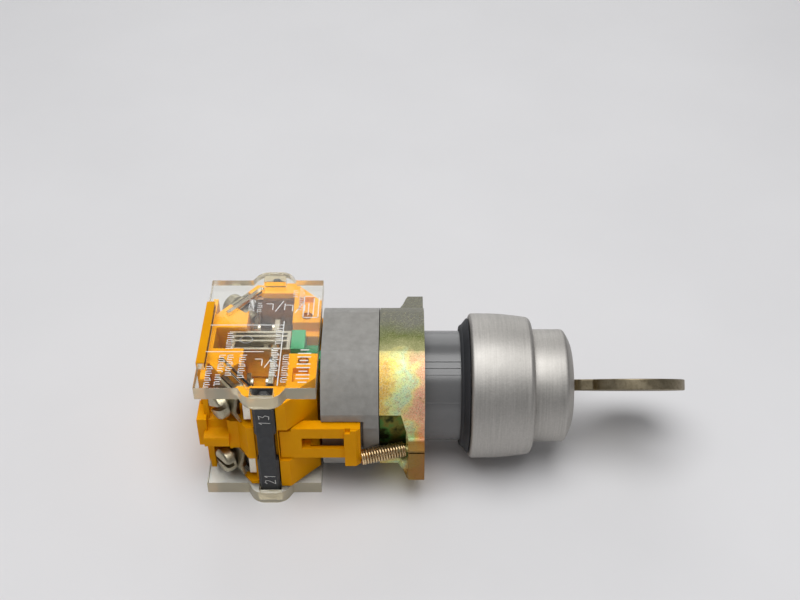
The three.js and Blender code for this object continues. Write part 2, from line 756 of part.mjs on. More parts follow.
// Terminal screw and clamp plate, in the terminal frame.
function makeTerminalScrew() {
  const turnedBody = turned(
    [[-2.6, 0], [-2.6, 0.9], [-2.1, 1.35], [2.75, 1.35], [2.75, 2.45], [4.4, 2.45], [4.8, 2.1], [4.8, 0]],
    16,
  );
  return cut(turnedBody, box([3.6, 6], [-3, 3], [-0.35, 0.35]));
}

function makeClampPlate() {
  // Bent to a shallow V, with the ridge level with the screw.
  const outline = shapeOf([[1.1, 2.9], [1.85, 2.9], [2.6, 0.5], [2.6, -0.5], [1.85, -2.9], [1.1, -2.9],
    [1.8, -0.5], [1.8, 0.5]]);
  const upright = new THREE.Matrix4().makeRotationX(Math.PI / 2);
  const plate = moved(geometryOf(prism(outline, [-3.3, 3.3])), upright);
  return cut(plate, rod(0, 4, 1.6, COARSE));
}

// ---------------------------------------------------------------- assembling

add("bezel_ring", makeBezel(), MATERIALS.satinAluminium);
add("panel_seal", makeSeal(), MATERIALS.blackRubber);
add("barrel", makeBarrel(), MATERIALS.greyPlastic);
add("lock_guard", makeGuard(), MATERIALS.satinAluminium);

const lock = new THREE.Group();
lock.rotation.x = KEY_REST;
assembly.add(lock);
add("lock_body", makeLockBody(), MATERIALS.brass, lock);
add("lock_plug", makePlug(), MATERIALS.brass, lock);
WAFER_XS.forEach((x, i) => {
  add(`lock_wafer_${i + 1}`, makeWafer(), MATERIALS.brass, lock).position.x = x;
});
add("plug_clip", makePlugClip(), MATERIALS.steel, lock);
add("drive_shaft", makeDriveShaft(), MATERIALS.steel, lock);
add("key", makeKey(), MATERIALS.nickelSilver, lock);

add("selector_cam", makeCam(), MATERIALS.whitePlastic);
add("detent_ball", makeDetentBall(), MATERIALS.steel);
add("detent_spring", makeDetentSpring(), MATERIALS.springSteel);

add("adapter_housing", makeAdapter(), MATERIALS.greyPlastic);
add("mounting_flange", makeFlange(), MATERIALS.chromatedZinc);
for (const [name, side] of [["clamp_screw_front", 1], ["clamp_screw_back", -1]]) {
  const screw = add(name, makeClampScrew(), MATERIALS.steel);
  screw.position.set(0, side * CLAMP_SCREW_Y, side * CLAMP_SCREW_Z);
}

add("latch_arm", makeLatch(), MATERIALS.yellowPlastic);
add("latch_pin", makeLatchPin(), MATERIALS.steel);
add("latch_spring", makeLatchSpring(), MATERIALS.springSteel);

add("contact_housing", makeContactHousing(), MATERIALS.yellowPlastic);
add("marking_strip_front", makeMarkingStrip(), MATERIALS.blackPlastic);
add("marking_strip_back", makeMarkingStrip(), MATERIALS.blackPlastic).scale.y = -1;

const CONTACT_PAIRS = [
  { pair: "no", level: 1, tipFace: -1, plunger: MATERIALS.greenPlastic, cover: "cover_top" },
  { pair: "nc", level: -1, tipFace: 1, plunger: MATERIALS.redPlastic, cover: "cover_bottom" },
];

for (const { pair, level, tipFace, plunger, cover } of CONTACT_PAIRS) {
  const half = new THREE.Group();
  half.scale.z = level;
  assembly.add(half);
  add(cover, makeCover(), MATERIALS.clearPlastic, half);
  add(`plunger_${pair}`, makePlunger(), plunger, half);
  add(`contact_carrier_${pair}`, makeCarrier(), MATERIALS.steel, half);
  add(`contact_bridge_${pair}`, makeBridge(tipFace), MATERIALS.silver, half);
  add(`return_spring_${pair}`, makeReturnSpring(), MATERIALS.steel, half);

  const bridgeTip = tipFace < 0 ? BRIDGE_XS[0] - 0.5 : BRIDGE_XS[1] + 0.5;
  const openGap = tipFace < 0 ? PLUNGER_TRAVEL + 0.05 : 0.05;
  const fixedTip = bridgeTip + tipFace * (openGap + 0.45);
  for (const [corner, side] of [["front", 1], ["back", -1]]) {
    const sideGroup = new THREE.Group();
    sideGroup.scale.y = side;
    half.add(sideGroup);
    add(`terminal_${pair}_${corner}`, makeTerminal(fixedTip, -tipFace), MATERIALS.silver, sideGroup);
    const onSlant = new THREE.Group();
    onSlant.position.set(TERMINAL_X, TERMINAL_Y, PLUNGER_LEVEL);
    onSlant.rotation.z = SLANT_TURN;
    sideGroup.add(onSlant);
    add(`terminal_screw_${pair}_${corner}`, makeTerminalScrew(), MATERIALS.steel, onSlant);
    add(`clamp_plate_${pair}_${corner}`, makeClampPlate(), MATERIALS.steel, onSlant);
  }
}

const keySwitch = new THREE.Group();
keySwitch.add(assembly);
assembly.position.set(-(BLOCK_REAR + KEY_TIP) / 2, 0, FLAT);

export default keySwitch;
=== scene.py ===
"""A key-operated selector switch lying on a pale table.

Lengths in the modelling code are millimetres in the switch's own frame: +X along the barrel towards
the key, x = 0 at the front face of the panel, and the barrel axis at y = z = 0. piece() moves each
finished mesh into the part's frame, in metres.
"""

import json
import math

import bmesh
import bpy
from mathutils import Matrix, Vector

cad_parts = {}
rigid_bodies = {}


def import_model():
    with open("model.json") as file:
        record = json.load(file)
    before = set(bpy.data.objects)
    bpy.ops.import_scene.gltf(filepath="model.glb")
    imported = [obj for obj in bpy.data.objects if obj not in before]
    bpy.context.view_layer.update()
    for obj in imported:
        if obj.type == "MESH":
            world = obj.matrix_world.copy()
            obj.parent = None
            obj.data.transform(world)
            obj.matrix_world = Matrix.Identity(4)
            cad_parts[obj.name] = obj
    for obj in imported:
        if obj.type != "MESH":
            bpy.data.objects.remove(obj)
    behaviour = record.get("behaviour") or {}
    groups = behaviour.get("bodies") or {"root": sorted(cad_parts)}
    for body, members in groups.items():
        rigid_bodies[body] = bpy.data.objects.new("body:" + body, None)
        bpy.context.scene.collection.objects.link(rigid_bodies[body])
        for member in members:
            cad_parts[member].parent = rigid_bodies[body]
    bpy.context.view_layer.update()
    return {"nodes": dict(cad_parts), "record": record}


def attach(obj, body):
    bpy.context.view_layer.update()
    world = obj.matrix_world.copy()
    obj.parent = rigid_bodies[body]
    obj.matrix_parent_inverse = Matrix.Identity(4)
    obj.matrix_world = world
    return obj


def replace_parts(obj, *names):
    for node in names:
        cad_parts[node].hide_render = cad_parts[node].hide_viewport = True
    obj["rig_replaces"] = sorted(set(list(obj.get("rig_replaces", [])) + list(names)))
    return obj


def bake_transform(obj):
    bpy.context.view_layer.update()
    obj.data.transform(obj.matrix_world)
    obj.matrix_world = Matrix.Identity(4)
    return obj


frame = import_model()

MM = 0.001
# where the panel's front face and the barrel's axis are in the part's frame
PANEL_X = 2.8
AXIS_HEIGHT = 14.7
TO_PART = Matrix.Scale(MM, 4) @ Matrix.Translation((PANEL_X, 0, AXIS_HEIGHT))

# ------------------------------------------------------------------ driving dimensions

GAP = 0.15
# adapter and flange: round with flats, so many from the axis to the top and to the sides
FLAT = AXIS_HEIGHT
SIDE_FLAT = 14.6
BODY_R = 15.8

BARREL_R = 11.15
BARREL_BORE = 8.8
BARREL_REAR = -18.9
BEZEL_R = 14.7
GUARD_R = 11.45
GUARD_FRONT = 22.5

FLANGE_FACE = -7.2
FLANGE_REAR = -16
ADAPTER_FRONT = -16.15
ADAPTER_REAR = -27.3

PLUG_R = 6
PLUG_REAR = -9
KEY_REST = -math.pi / 4
KEY_TIP = 46
KEY_HALF_THICKNESS = 1.1
BLADE_HALF_WIDTH = 3.7
WAFER_XS = (1.5, 4.9, 8.3, 11.7, 15.1)

PLUNGER_LEVEL = 7

BLOCK_FRONT = -28.1
BLOCK_REAR = -51.6
BLOCK_HALF_HEIGHT = 11.6
DECK = 3.1
COVER_HALF_DEPTH = 16
COVER_BOTTOM = 11.75
COVER_TOP = 14.66
PEG_PLACE = (-30.7, -6.6)
TAB_X = -37.9
TAB_REACH = 18.75
STRIP_HALF_WIDTH = 2.1
STRIP_FACE = -17.6
WALL_FACE = -16.9

SLANT_REAR = Vector((-49.2, -7, 0))
SLANT_FRONT = Vector((-41.6, -16.3, 0))
TERMINAL = Vector((-43.85, -11.6, PLUNGER_LEVEL))
# the upper terminals sit a little higher than the lower ones' mirror image
UPPER_LIFT = 0.9
SCREW_R = 1.35
SCREW_HOLE_R = 1.6
BRIDGE_XS = (-37.6, -36.6)
PLUNGER_TRAVEL = 2.4

LATCH_PIVOT = Vector((-34.1, -15.35, 0))
LATCH_PIN_R = 0.5
LATCH_END = -19.7
LATCH_INNER = -14
LATCH_OUTER = -16.3
LATCH_GROOVE = 13.75
SPRING_START = Vector((-19.1, -15.9, -4.2))
SPRING_END = Vector((-11.1, -13.75, -4.2))
HOOK_XS = (-21.9, -19.2)

CLAMP_SCREW_Y = -16.2
CLAMP_SCREW_Z = -6.9
CLAMP_SCREW_R = 1.25

# ------------------------------------------------------------------ meshes


def as_object(bm, name="solid"):
    """A linked object made from a bmesh, which is freed."""
    bmesh.ops.recalc_face_normals(bm, faces=bm.faces)
    mesh = bpy.data.meshes.new(name)
    bm.to_mesh(mesh)
    bm.free()
    obj = bpy.data.objects.new(name, mesh)
    bpy.context.scene.collection.objects.link(obj)
    return obj


def loft(rings):
    """A closed skin through rings of points, all with the same count."""
    bm = bmesh.new()
    made = [[bm.verts.new(point) for point in ring] for ring in rings]
    count = len(made[0])
    for a, b in zip(made, made[1:]):
        for i in range(count):
            j = (i + 1) % count
            bm.faces.new((a[i], a[j], b[j], b[i]))
    bm.faces.new(made[0])
    bm.faces.new(made[-1])
    return as_object(bm)


def prism(outline, z, matrix=Matrix()):
    """An outline in plan, extruded upwards from z[0] to z[1]."""
    return loft([[matrix @ Vector((a, b, level)) for a, b in outline] for level in z])


def box(x, y, z, matrix=Matrix()):
    """A box between two places on each axis."""
    outline = [(x[0], y[0]), (x[1], y[0]), (x[1], y[1]), (x[0], y[1])]
    return prism(outline, z, matrix)


# turns an outline in plan into one in the YZ plane
SECTION = Matrix(((0, 0, 1, 0), (1, 0, 0, 0), (0, 1, 0, 0), (0, 0, 0, 1)))


def section(outline, x):
    """An outline in the YZ plane, extruded along X."""
    return prism(outline, x, SECTION)


def turned(profile, segments=160):
    """A solid of revolution about the X axis through (x, radius) points, from axis to axis or closed."""
    solid = profile[0][1] == 0 and profile[-1][1] == 0
    bm = bmesh.new()
    rings = []
    for x, r in profile:
        if r == 0:
            rings.append([bm.verts.new((x, 0, 0))])
            continue
        angles = [2 * math.pi * i / segments for i in range(segments)]
        rings.append([bm.verts.new((x, r * math.cos(a), r * math.sin(a))) for a in angles])
    pairs = list(zip(rings, rings[1:]))
    if not solid:
        pairs.append((rings[-1], rings[0]))
    for a, b in pairs:
        for i in range(segments):
            j = (i + 1) % segments
            corners = [a[i % len(a)], a[j % len(a)], b[j % len(b)], b[i % len(b)]]
            corners = list(dict.fromkeys(corners))
            if len(corners) > 2:
                bm.faces.new(corners)
    return as_object(bm)


def arc(centre, radius, start, end, steps=8):
    """Profile points along an arc; angles in degrees."""
    points = []
    for i in range(steps + 1):
        angle = math.radians(start + (end - start) * i / steps)
        points.append((centre[0] + radius * math.cos(angle), centre[1] + radius * math.sin(angle)))
    return points


def frame_along(start, end):
    """A matrix whose X axis runs from start towards end, with its origin at start."""
    along = (Vector(end) - Vector(start)).normalized()
    side = Vector((0, 0, 1)).cross(along)
    side = Vector((0, 1, 0)) if side.length < 0.01 else side.normalized()
    up = along.cross(side)
    turn = Matrix((along, side, up)).transposed().to_4x4()
    return Matrix.Translation(start) @ turn


def moved(obj, matrix):
    """Moves the mesh itself, and turns its faces round where the matrix mirrors it."""
    obj.data.transform(matrix)
    if matrix.determinant() < 0:
        obj.data.flip_normals()
    return obj


def rod(start, end, radius, segments=32):
    """A cylinder between two points."""
    length = (Vector(end) - Vector(start)).length
    made = turned([(0, 0), (0, radius), (length, radius), (length, 0)], segments)
    return moved(made, frame_along(start, end))


def upright_rod(x, y, z0, z1, radius, segments=32):
    return rod((x, y, z0), (x, y, z1), radius, segments)


def flattened_circle(r, half_y, half_z, steps=22):
    """A circle with flats at +-half_y and +-half_z."""
    low = math.acos(half_y / r)
    high = math.asin(half_z / r)
    outline = []
    for quarter in range(4):
        start, end = (low, high) if quarter % 2 == 0 else (math.pi / 2 - high, math.pi / 2 - low)
        for i in range(steps + 1):
            angle = quarter * math.pi / 2 + start + (end - start) * i / steps
            outline.append((r * math.cos(angle), r * math.sin(angle)))
    return outline


def combine(target, operation, others):
    """Joins others to target, or cuts them from it, and deletes them."""
    for other in others:
        modifier = target.modifiers.new("combine", "BOOLEAN")
        modifier.operation = operation
        modifier.object = other
        modifier.solver = "EXACT"
    depsgraph = bpy.context.evaluated_depsgraph_get()
    mesh = bpy.data.meshes.new_from_object(target.evaluated_get(depsgraph))
    target.modifiers.clear()
    target.data = mesh
    for other in others:
        bpy.data.objects.remove(other, do_unlink=True)
    return target


def join(target, *others):
    return combine(target, "UNION", others)


def cut(target, *others):
    return combine(target, "DIFFERENCE", others)


def copy_of(obj, matrix=Matrix()):
    made = obj.copy()
    made.data = obj.data.copy()
    bpy.context.scene.collection.objects.link(made)
    return moved(made, matrix)


def coil(start, end, radius, wire, turns, closed_ends, steps=30, sides=10):
    """A helical wire. closed_ends turns at each end lie close together."""
    along = frame_along(start, end)
    length = (Vector(end) - Vector(start)).length
    total = int(turns * steps)
    dead = 2 * wire * 1.02
    free = (length - 2 * closed_ends * dead) / (turns - 2 * closed_ends)
    centres = []
    for i in range(total + 1):
        turn = turns * i / total
        if turn < closed_ends:
            x = dead * turn
        elif turn > turns - closed_ends:
            x = length - dead * (turns - turn)
        else:
            x = closed_ends * dead + free * (turn - closed_ends)
        angle = 2 * math.pi * turn
        centres.append(Vector((x, radius * math.cos(angle), radius * math.sin(angle))))
    rings = []
    for i, centre in enumerate(centres):
        before, after = centres[max(i - 1, 0)], centres[min(i + 1, total)]
        tangent = (after - before).normalized()
        outward = Vector((0, centre.y, centre.z)).normalized()
        outward = (outward - tangent * outward.dot(tangent)).normalized()
        across = tangent.cross(outward)
        ring = []
        for k in range(sides):
            angle = 2 * math.pi * k / sides
            offset = outward * math.cos(angle) + across * math.sin(angle)
            ring.append(along @ (centre + wire * offset))
        rings.append(ring)
    return loft(rings)


def piece(obj, node, body, material, bevel=0.12, segments=2, angle=28):
    """Puts a finished solid in the place of a CAD node, rounds its edges and gives it its material."""
    obj.name = f"{node}_fine"
    bm = bmesh.new()
    bm.from_mesh(obj.data)
    bmesh.ops.remove_doubles(bm, verts=bm.verts, dist=0.0005)
    bmesh.ops.dissolve_limit(bm, angle_limit=math.radians(0.6), verts=bm.verts, edges=bm.edges)
    bm.transform(TO_PART)
    bm.normal_update()
    bm.to_mesh(obj.data)
    bm.free()
    obj.data.name = obj.name
    obj.data.shade_smooth()
    if bevel:
        rounding = obj.modifiers.new("rounding", "BEVEL")
        rounding.width = bevel * MM
        rounding.segments = segments
        rounding.limit_method = "ANGLE"
        rounding.angle_limit = math.radians(angle)
        rounding.harden_normals = True
        rounding.use_clamp_overlap = True
        rounding.miter_outer = "MITER_ARC"
    else:
        obj.data.set_sharp_from_angle(angle=math.radians(angle))
    surface, slot = material
    obj.data.materials.clear()
    obj.data.materials.append(surface)
    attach(obj, body)
    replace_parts(obj, node)
    return obj


def stretching_spring(spring, node, steel):
    """Puts a coil in the place of a CAD node and gives it its material."""
    spring.data.transform(TO_PART)
    spring.name = spring.data.name = f"{node}_fine"
    spring.data.shade_smooth()
    spring.data.materials.append(surfaces[steel].material)
    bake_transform(spring)
    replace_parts(spring, node)


# ------------------------------------------------------------------ materials


class Surface:
    """A procedural material in the making. Noise scales are in features per millimetre."""

    def __init__(self, name, **values):
        self.material = bpy.data.materials.new(name)
        self.material.use_nodes = True
        self.tree = self.material.node_tree
        self.shader = self.tree.nodes["Principled BSDF"]
        for socket, value in values.items():
            self.set(socket.replace("_", " "), value)

    def set(self, socket, value):
        target = self.shader.inputs[socket]
        if isinstance(value, bpy.types.NodeSocket):
            self.tree.links.new(value, target)
        else:
            target.default_value = value

    def node(self, kind, inputs=None, **settings):
        made = self.tree.nodes.new(kind)
        for name, value in settings.items():
            setattr(made, name, value)
        for socket, value in (inputs or {}).items():
            if isinstance(value, bpy.types.NodeSocket):
                self.tree.links.new(value, made.inputs[socket])
            else:
                made.inputs[socket].default_value = value
        return made

    def noise(self, scale, detail=3.0, roughness=0.55, stretch=(1, 1, 1), shift=(0, 0, 0)):
        """Noise fixed to the object, stretched along an axis where stretch is below 1."""
        place = self.node("ShaderNodeTexCoord").outputs["Object"]
        size = tuple(1000 * scale * s for s in stretch)
        mapping = self.node("ShaderNodeMapping", {"Vector": place, "Scale": size, "Location": shift})
        made = self.node(
            "ShaderNodeTexNoise",
            {"Vector": mapping.outputs[0], "Scale": 1.0, "Detail": detail, "Roughness": roughness},
        )
        return made.outputs[0]

    def spread(self, value, low, high, start=0.3, end=0.7):
        """value mapped from start..end to low..high."""
        made = self.node(
            "ShaderNodeMapRange",
            {"Value": value, "From Min": start, "From Max": end, "To Min": low, "To Max": high},
        )
        return made.outputs[0]

    def ramp(self, value, stops):
        """A colour for value from (position, colour) stops."""
        made = self.node("ShaderNodeValToRGB", {"Fac": value})
        ramp = made.color_ramp
        while len(ramp.elements) < len(stops):
            ramp.elements.new(0.5)
        for element, (position, color) in zip(ramp.elements, stops):
            element.position = position
            element.color = (*color, 1)
        return made.outputs[0]

    def mix(self, factor, first, second):
        """A colour between first, at factor 0, and second, at factor 1."""
        made = self.node("ShaderNodeMix", data_type="RGBA")
        for socket, value in ((0, factor), (6, first), (7, second)):
            if isinstance(value, bpy.types.NodeSocket):
                self.tree.links.new(value, made.inputs[socket])
            elif socket == 0:
                made.inputs[socket].default_value = value
            else:
                made.inputs[socket].default_value = (*value, 1)
        return made.outputs[2]

    def bump(self, height, depth, strength=1.0, normal=None):
        """A normal for a height whose full range is depth millimetres."""
        inputs = {"Height": height, "Distance": depth * MM, "Strength": strength}
        if normal is not None:
            inputs["Normal"] = normal
        return self.node("ShaderNodeBump", inputs).outputs[0]

    def calc(self, operation, a, b=0.0):
        """The result of one arithmetic operation."""
        return self.node("ShaderNodeMath", {0: a, 1: b}, operation=operation).outputs[0]


def moulded_plastic(name, light, dark, rough, grain=0.02, cloud=0.25, worn=0.5, **more):
    """Plastic with cloudy colour, a fine moulded grain and scratches where it is worn."""
    s = Surface(name, **more)
    tone = s.noise(cloud, 4)
    s.set("Base Color", s.mix(s.spread(tone, 0, 1), dark, light))
    fine = s.noise(5, 2, shift=(3, 1, 7))
    s.set("Roughness", s.spread(s.noise(0.9, 5, 0.6), rough - 0.06 * worn, rough + 0.1 * worn))
    scratches = s.noise(1.5, 2, stretch=(1, 9, 9), shift=(9, 4, 2))
    coarse = s.bump(s.spread(scratches, 0, 1, 0.45, 0.75), 0.004 * worn)
    s.set("Normal", s.bump(fine, grain, 0.6, coarse))
    return s


def turned_metal(name, color, shade, rough, brushing=1.0):
    """Metal with fine lines round the X axis and a light grain."""
    s = Surface(name, Metallic=1.0)
    lines = s.noise(2.4, 4, 0.75, stretch=(1, 0.03, 0.03))
    grain = s.noise(2.6, 4, 0.75, shift=(5, 2, 1))
    tone = s.noise(0.18, 3, shift=(1, 8, 3))
    mixed = s.calc("ADD", s.calc("MULTIPLY", lines, 0.6 * brushing), s.calc("MULTIPLY", grain, 0.4))
    s.set("Base Color", s.mix(s.spread(mixed, 0, 1, 0.36, 0.62), shade, color))
    patchy = s.spread(tone, rough - 0.03, rough + 0.04)
    s.set("Roughness", s.calc("ADD", s.spread(mixed, -0.05, 0.07), patchy))
    height = s.bump(grain, 0.03, 0.7)
    s.set("Normal", s.bump(lines, 0.02 * brushing, 0.6, height))
    return s


def plain_metal(name, color, shade, rough, grain=0.008, tarnish=None):
    """Plated or solid metal, cloudy and with a fine grain, with spots of tarnish where one is given."""
    s = Surface(name, Metallic=1.0)
    cloud = s.noise(0.5, 5, 0.6)
    base = s.mix(s.spread(cloud, 0, 1), shade, color)
    if tarnish:
        spots = s.spread(s.noise(1.4, 6, 0.7, shift=(2, 6, 4)), 0, 0.75, 0.5, 0.72)
        base = s.mix(spots, base, tarnish)
    s.set("Base Color", base)
    s.set("Roughness", s.spread(s.noise(1.1, 5, 0.65, shift=(4, 4, 1)), rough - 0.08, rough + 0.12))
    s.set("Normal", s.bump(s.noise(6, 3, shift=(7, 3, 3)), grain, 0.6))
    return s


def chromated_zinc():
    """Yellow-chromated die casting: gold, green and pink bands over a sparkling grain, with shade painted on
    the top flat in darker grey and olive.
    """
    s = Surface("chromated_zinc", Metallic=1.0)
    place = s.node("ShaderNodeTexCoord").outputs["Object"]
    x, y, z = s.node("ShaderNodeSeparateXYZ", {0: place}).outputs
    height = s.calc("SUBTRACT", z, AXIS_HEIGHT * MM)
    front = s.calc("MULTIPLY", y, -1)
    patches = s.noise(0.17, 4, 0.6, shift=(0.35, 0.1, 0.2))
    drift = s.spread(patches, -0.3, 0.3)
    # 0 at the rear edge of the flange, 1 at its face against the panel
    across = s.spread(x, 0, 1, (FLANGE_REAR + PANEL_X) * MM, (FLANGE_FACE + PANEL_X) * MM)
    film = s.ramp(
        s.calc("ADD", across, drift),
        [
            (0.00, (0.84, 0.54, 0.11)),
            (0.22, (0.95, 0.78, 0.22)),
            (0.42, (0.80, 0.92, 0.44)),
            (0.54, (0.68, 0.88, 0.60)),
            (0.66, (0.92, 0.80, 0.32)),
            (0.80, (0.98, 0.56, 0.33)),
            (1.00, (0.95, 0.48, 0.34)),
        ],
    )
    # the turn round the axis: 0 straight up, negative towards the front and positive towards the back
    angle = s.calc("ARCTAN2", y, height)
    # 0 low on the front, 0.69 where the top flat begins and 0.92 where it ends
    around = s.spread(angle, 0, 1, -2.57, 0.63)
    turned_up = s.calc("ADD", around, s.spread(patches, -0.03, 0.03))
    # painted shade: the top flat is grey and olive, darker than the film on the sides, as a top that reflects
    # dim surroundings
    painted_shade_top = s.ramp(
        turned_up,
        [
            (0.70, (0.46, 0.45, 0.22)),
            (0.77, (0.18, 0.21, 0.07)),
            (0.86, (0.22, 0.22, 0.19)),
        ],
    )
    # 1 below the painted shade of the top and low on the back, where the film, its warm blotches and its
    # sparkle show
    low_on_back = s.spread(angle, 0, 1, 1.6, 2.0)
    below_shaded_top = s.calc("MAXIMUM", s.spread(turned_up, 1, 0, 0.64, 0.71), low_on_back)
    film = s.mix(below_shaded_top, painted_shade_top, film)
    blotches = s.spread(s.noise(0.7, 4, 0.7, shift=(6, 2, 2)), 0, 0.6, 0.5, 0.66)
    warm = s.mix(s.calc("MULTIPLY", blotches, below_shaded_top), film, (0.66, 0.38, 0.15))
    grain = s.noise(4.2, 4, 0.75, shift=(3, 5, 9))
    speckle = s.spread(grain, 0, 0.8, 0.50, 0.62)
    sparkle = s.calc("MULTIPLY", speckle, s.spread(below_shaded_top, 0.35, 1, 0, 1))
    lit = s.mix(sparkle, warm, (0.92, 0.86, 0.54))
    # the front lug, beyond the body, is bronze
    lug_start, lug_full = 15.0 * MM, 15.6 * MM
    lit = s.mix(s.spread(front, 0, 0.86, lug_start, lug_full), lit, (0.27, 0.12, 0.01))
    pits = s.spread(s.noise(4.6, 4, 0.75, shift=(1, 7, 7)), 0, 0.7, 0.53, 0.66)
    color = s.mix(pits, lit, (0.14, 0.12, 0.04))
    # the hub inside the windows is painted near black, as painted shade under the windows' overhang, with
    # dark green patches
    hub = s.ramp(
        patches,
        [
            (0.42, (0.04, 0.05, 0.015)),
            (0.50, (0.13, 0.30, 0.08)),
            (0.58, (0.26, 0.24, 0.06)),
            (0.66, (0.05, 0.06, 0.02)),
        ],
    )
    hub_edge, rim_start = 12.7 * MM, 13.1 * MM
    squares = s.calc("ADD", s.calc("POWER", height, 2), s.calc("POWER", y, 2))
    outside_hub = s.spread(s.calc("SQRT", squares), 0, 1, hub_edge, rim_start)
    s.set("Base Color", s.mix(outside_hub, hub, color))
    s.set("Roughness", s.spread(grain, 0.5, 0.68))
    s.set("Normal", s.bump(grain, 0.06, 0.9, s.bump(patches, 0.2, 0.4)))
    return s


def clear_plastic(name, tint, rough, milky=0.0):
    """Scuffed clear plastic; milky is the share of light that it scatters."""
    s = Surface(name, Transmission_Weight=1.0 - milky, IOR=1.48)
    s.set("Base Color", s.mix(s.noise(0.3, 3), tint, tuple(min(1, 1.03 * c) for c in tint)))
    scuffs = s.noise(0.7, 6, 0.7)
    s.set("Roughness", s.spread(scuffs, rough, rough + 0.05, 0.45, 0.75))
    s.set("Normal", s.bump(s.noise(2.2, 3, shift=(4, 4, 4)), 0.004, 0.3))
    return s


surfaces = {
    "satin_aluminium": turned_metal(
        "satin_aluminium", (0.55, 0.53, 0.50), (0.40, 0.385, 0.36), 0.54, brushing=0.9
    ),
    "barrel_plastic": moulded_plastic(
        "barrel_plastic", (0.125, 0.126, 0.128), (0.110, 0.111, 0.113), 0.24, grain=0.001,
        cloud=0.12, worn=0.25, Specular_IOR_Level=0.7,
    ),
    "grey_plastic": moulded_plastic(
        "grey_plastic", (0.30, 0.291, 0.27), (0.24, 0.232, 0.213), 0.48, grain=0.03, cloud=0.6, worn=1.4
    ),
    "black_rubber": moulded_plastic(
        "black_rubber", (0.022, 0.024, 0.028), (0.014, 0.015, 0.018), 0.62, grain=0.03
    ),
    "chromated_zinc": chromated_zinc(),
    "nickel_silver": plain_metal(
        "nickel_silver", (0.34, 0.29, 0.20), (0.22, 0.185, 0.12), 0.42, grain=0.02,
        tarnish=(0.15, 0.11, 0.06),
    ),
    "brass": plain_metal("brass", (0.72, 0.55, 0.26), (0.60, 0.45, 0.20), 0.32),
    "zinc_plated_steel": plain_metal(
        "zinc_plated_steel", (0.50, 0.455, 0.34), (0.33, 0.30, 0.21), 0.36, tarnish=(0.22, 0.17, 0.10)
    ),
    "spring_steel": plain_metal("spring_steel", (0.86, 0.66, 0.40), (0.62, 0.47, 0.26), 0.26),
    "yellow_plastic": moulded_plastic(
        "yellow_plastic", (0.80, 0.345, 0.0), (0.73, 0.30, 0.0), 0.46, grain=0.008,
        cloud=0.15, Specular_IOR_Level=0.06, Subsurface_Weight=0.12, Subsurface_Scale=0.0012,
        Subsurface_Radius=(1.0, 0.45, 0.08),
    ),
    "clear_plastic": clear_plastic("clear_plastic", (0.88, 0.88, 0.825), 0.01),
    "clear_edge": clear_plastic("clear_edge", (0.98, 0.88, 0.65), 0.16, milky=0.42),
    "black_plastic": moulded_plastic(
        "black_plastic", (0.026, 0.028, 0.032), (0.016, 0.018, 0.021), 0.46, grain=0.03,
        cloud=0.6, worn=1.2,
    ),
    "white_plastic": moulded_plastic("white_plastic", (0.72, 0.70, 0.62), (0.64, 0.61, 0.53), 0.5),
    "white_ink": moulded_plastic(
        "white_ink", (0.84, 0.83, 0.80), (0.74, 0.73, 0.69), 0.6, grain=0.004, cloud=1.5
    ),
    "green_plastic": moulded_plastic("green_plastic", (0.02, 0.27, 0.11), (0.015, 0.21, 0.08), 0.36),
    "red_plastic": moulded_plastic("red_plastic", (0.52, 0.05, 0.03), (0.43, 0.035, 0.025), 0.36),
    # dark brown metal for the strip that lines each contact room, darker than the silver parts
    "dark_brown_strip": plain_metal(
        "dark_brown_strip", (0.30, 0.22, 0.13), (0.15, 0.10, 0.055), 0.34, tarnish=(0.09, 0.055, 0.025)
    ),
    "contact_silver": plain_metal(
        "contact_silver", (0.80, 0.75, 0.65), (0.72, 0.67, 0.57), 0.33, grain=0.002,
        tarnish=(0.60, 0.53, 0.42),
    ),
}


def finish_of(name, slot=None):
    """A material with the record's slot that it stands for, which is its own name unless given."""
    return surfaces[name].material, slot or name


# Every CAD node first gets the finish of its material slot; finer pieces replace many of them below.
for subpart in frame["record"]["subparts"]:
    node = frame["nodes"][subpart["node"]]
    node.data.materials.clear()
    node.data.materials.append(surfaces[subpart["material_slot"]].material)

# ------------------------------------------------------------------ front: bezel, seal, barrel, guard

bezel = turned(
    [(1.9, 11.5), (1.9, 13.9)]
    + arc((2.6, 14.0), 0.7, 180, 90, 6)
    + [(4.4, BEZEL_R), (6.3, 14.69), (8.5, 14.56), (11, 14.3), (13.35, 13.98)]
    + arc((13.3, 12.88), 1.1, 84, 6, 10)
    + [(14.45, 12.6), (14.45, GUARD_R + 0.22), (14.3, GUARD_R + 0.1), (11.6, GUARD_R + 0.1), (11.6, 11.5)],
    256,
)
piece(bezel, "bezel_ring", "housing", finish_of("satin_aluminium"), bevel=0)

seal = turned(
    [
        (0, 11.3), (0, 12.1), (0.25, 12.35), (0.5, 12.45), (1.35, 13.55), (1.6, 13.72), (1.75, 13.6),
        (1.75, 11.3),
    ],
    192,
)
piece(seal, "panel_seal", "housing", finish_of("black_rubber"), bevel=0)


def barrel_line(degrees, half_width, height):
    """A raised line along the barrel, so many degrees from the top towards the front."""
    turn = Matrix.Rotation(math.radians(degrees), 4, "X")
    return box((BARREL_REAR + 0.4, 11.2), (-half_width, half_width), (10.6, BARREL_R + height), turn)


barrel = turned(
    [
        (BARREL_REAR, BARREL_BORE), (BARREL_REAR, 10.9), (-18.6, BARREL_R), (11.3, BARREL_R),
        (11.5, 10.95), (11.5, BARREL_BORE),
    ],
    256,
)
ribs = [barrel_line(degrees, 0.3, 0.16) for degrees in (20.5, 27.5, 34.4)]
mould_seam = barrel_line(64.6, 0.06, 0.035)
barrel = join(barrel, *ribs, mould_seam)
piece(barrel, "barrel", "housing", finish_of("barrel_plastic", "grey_plastic"), bevel=0.09)

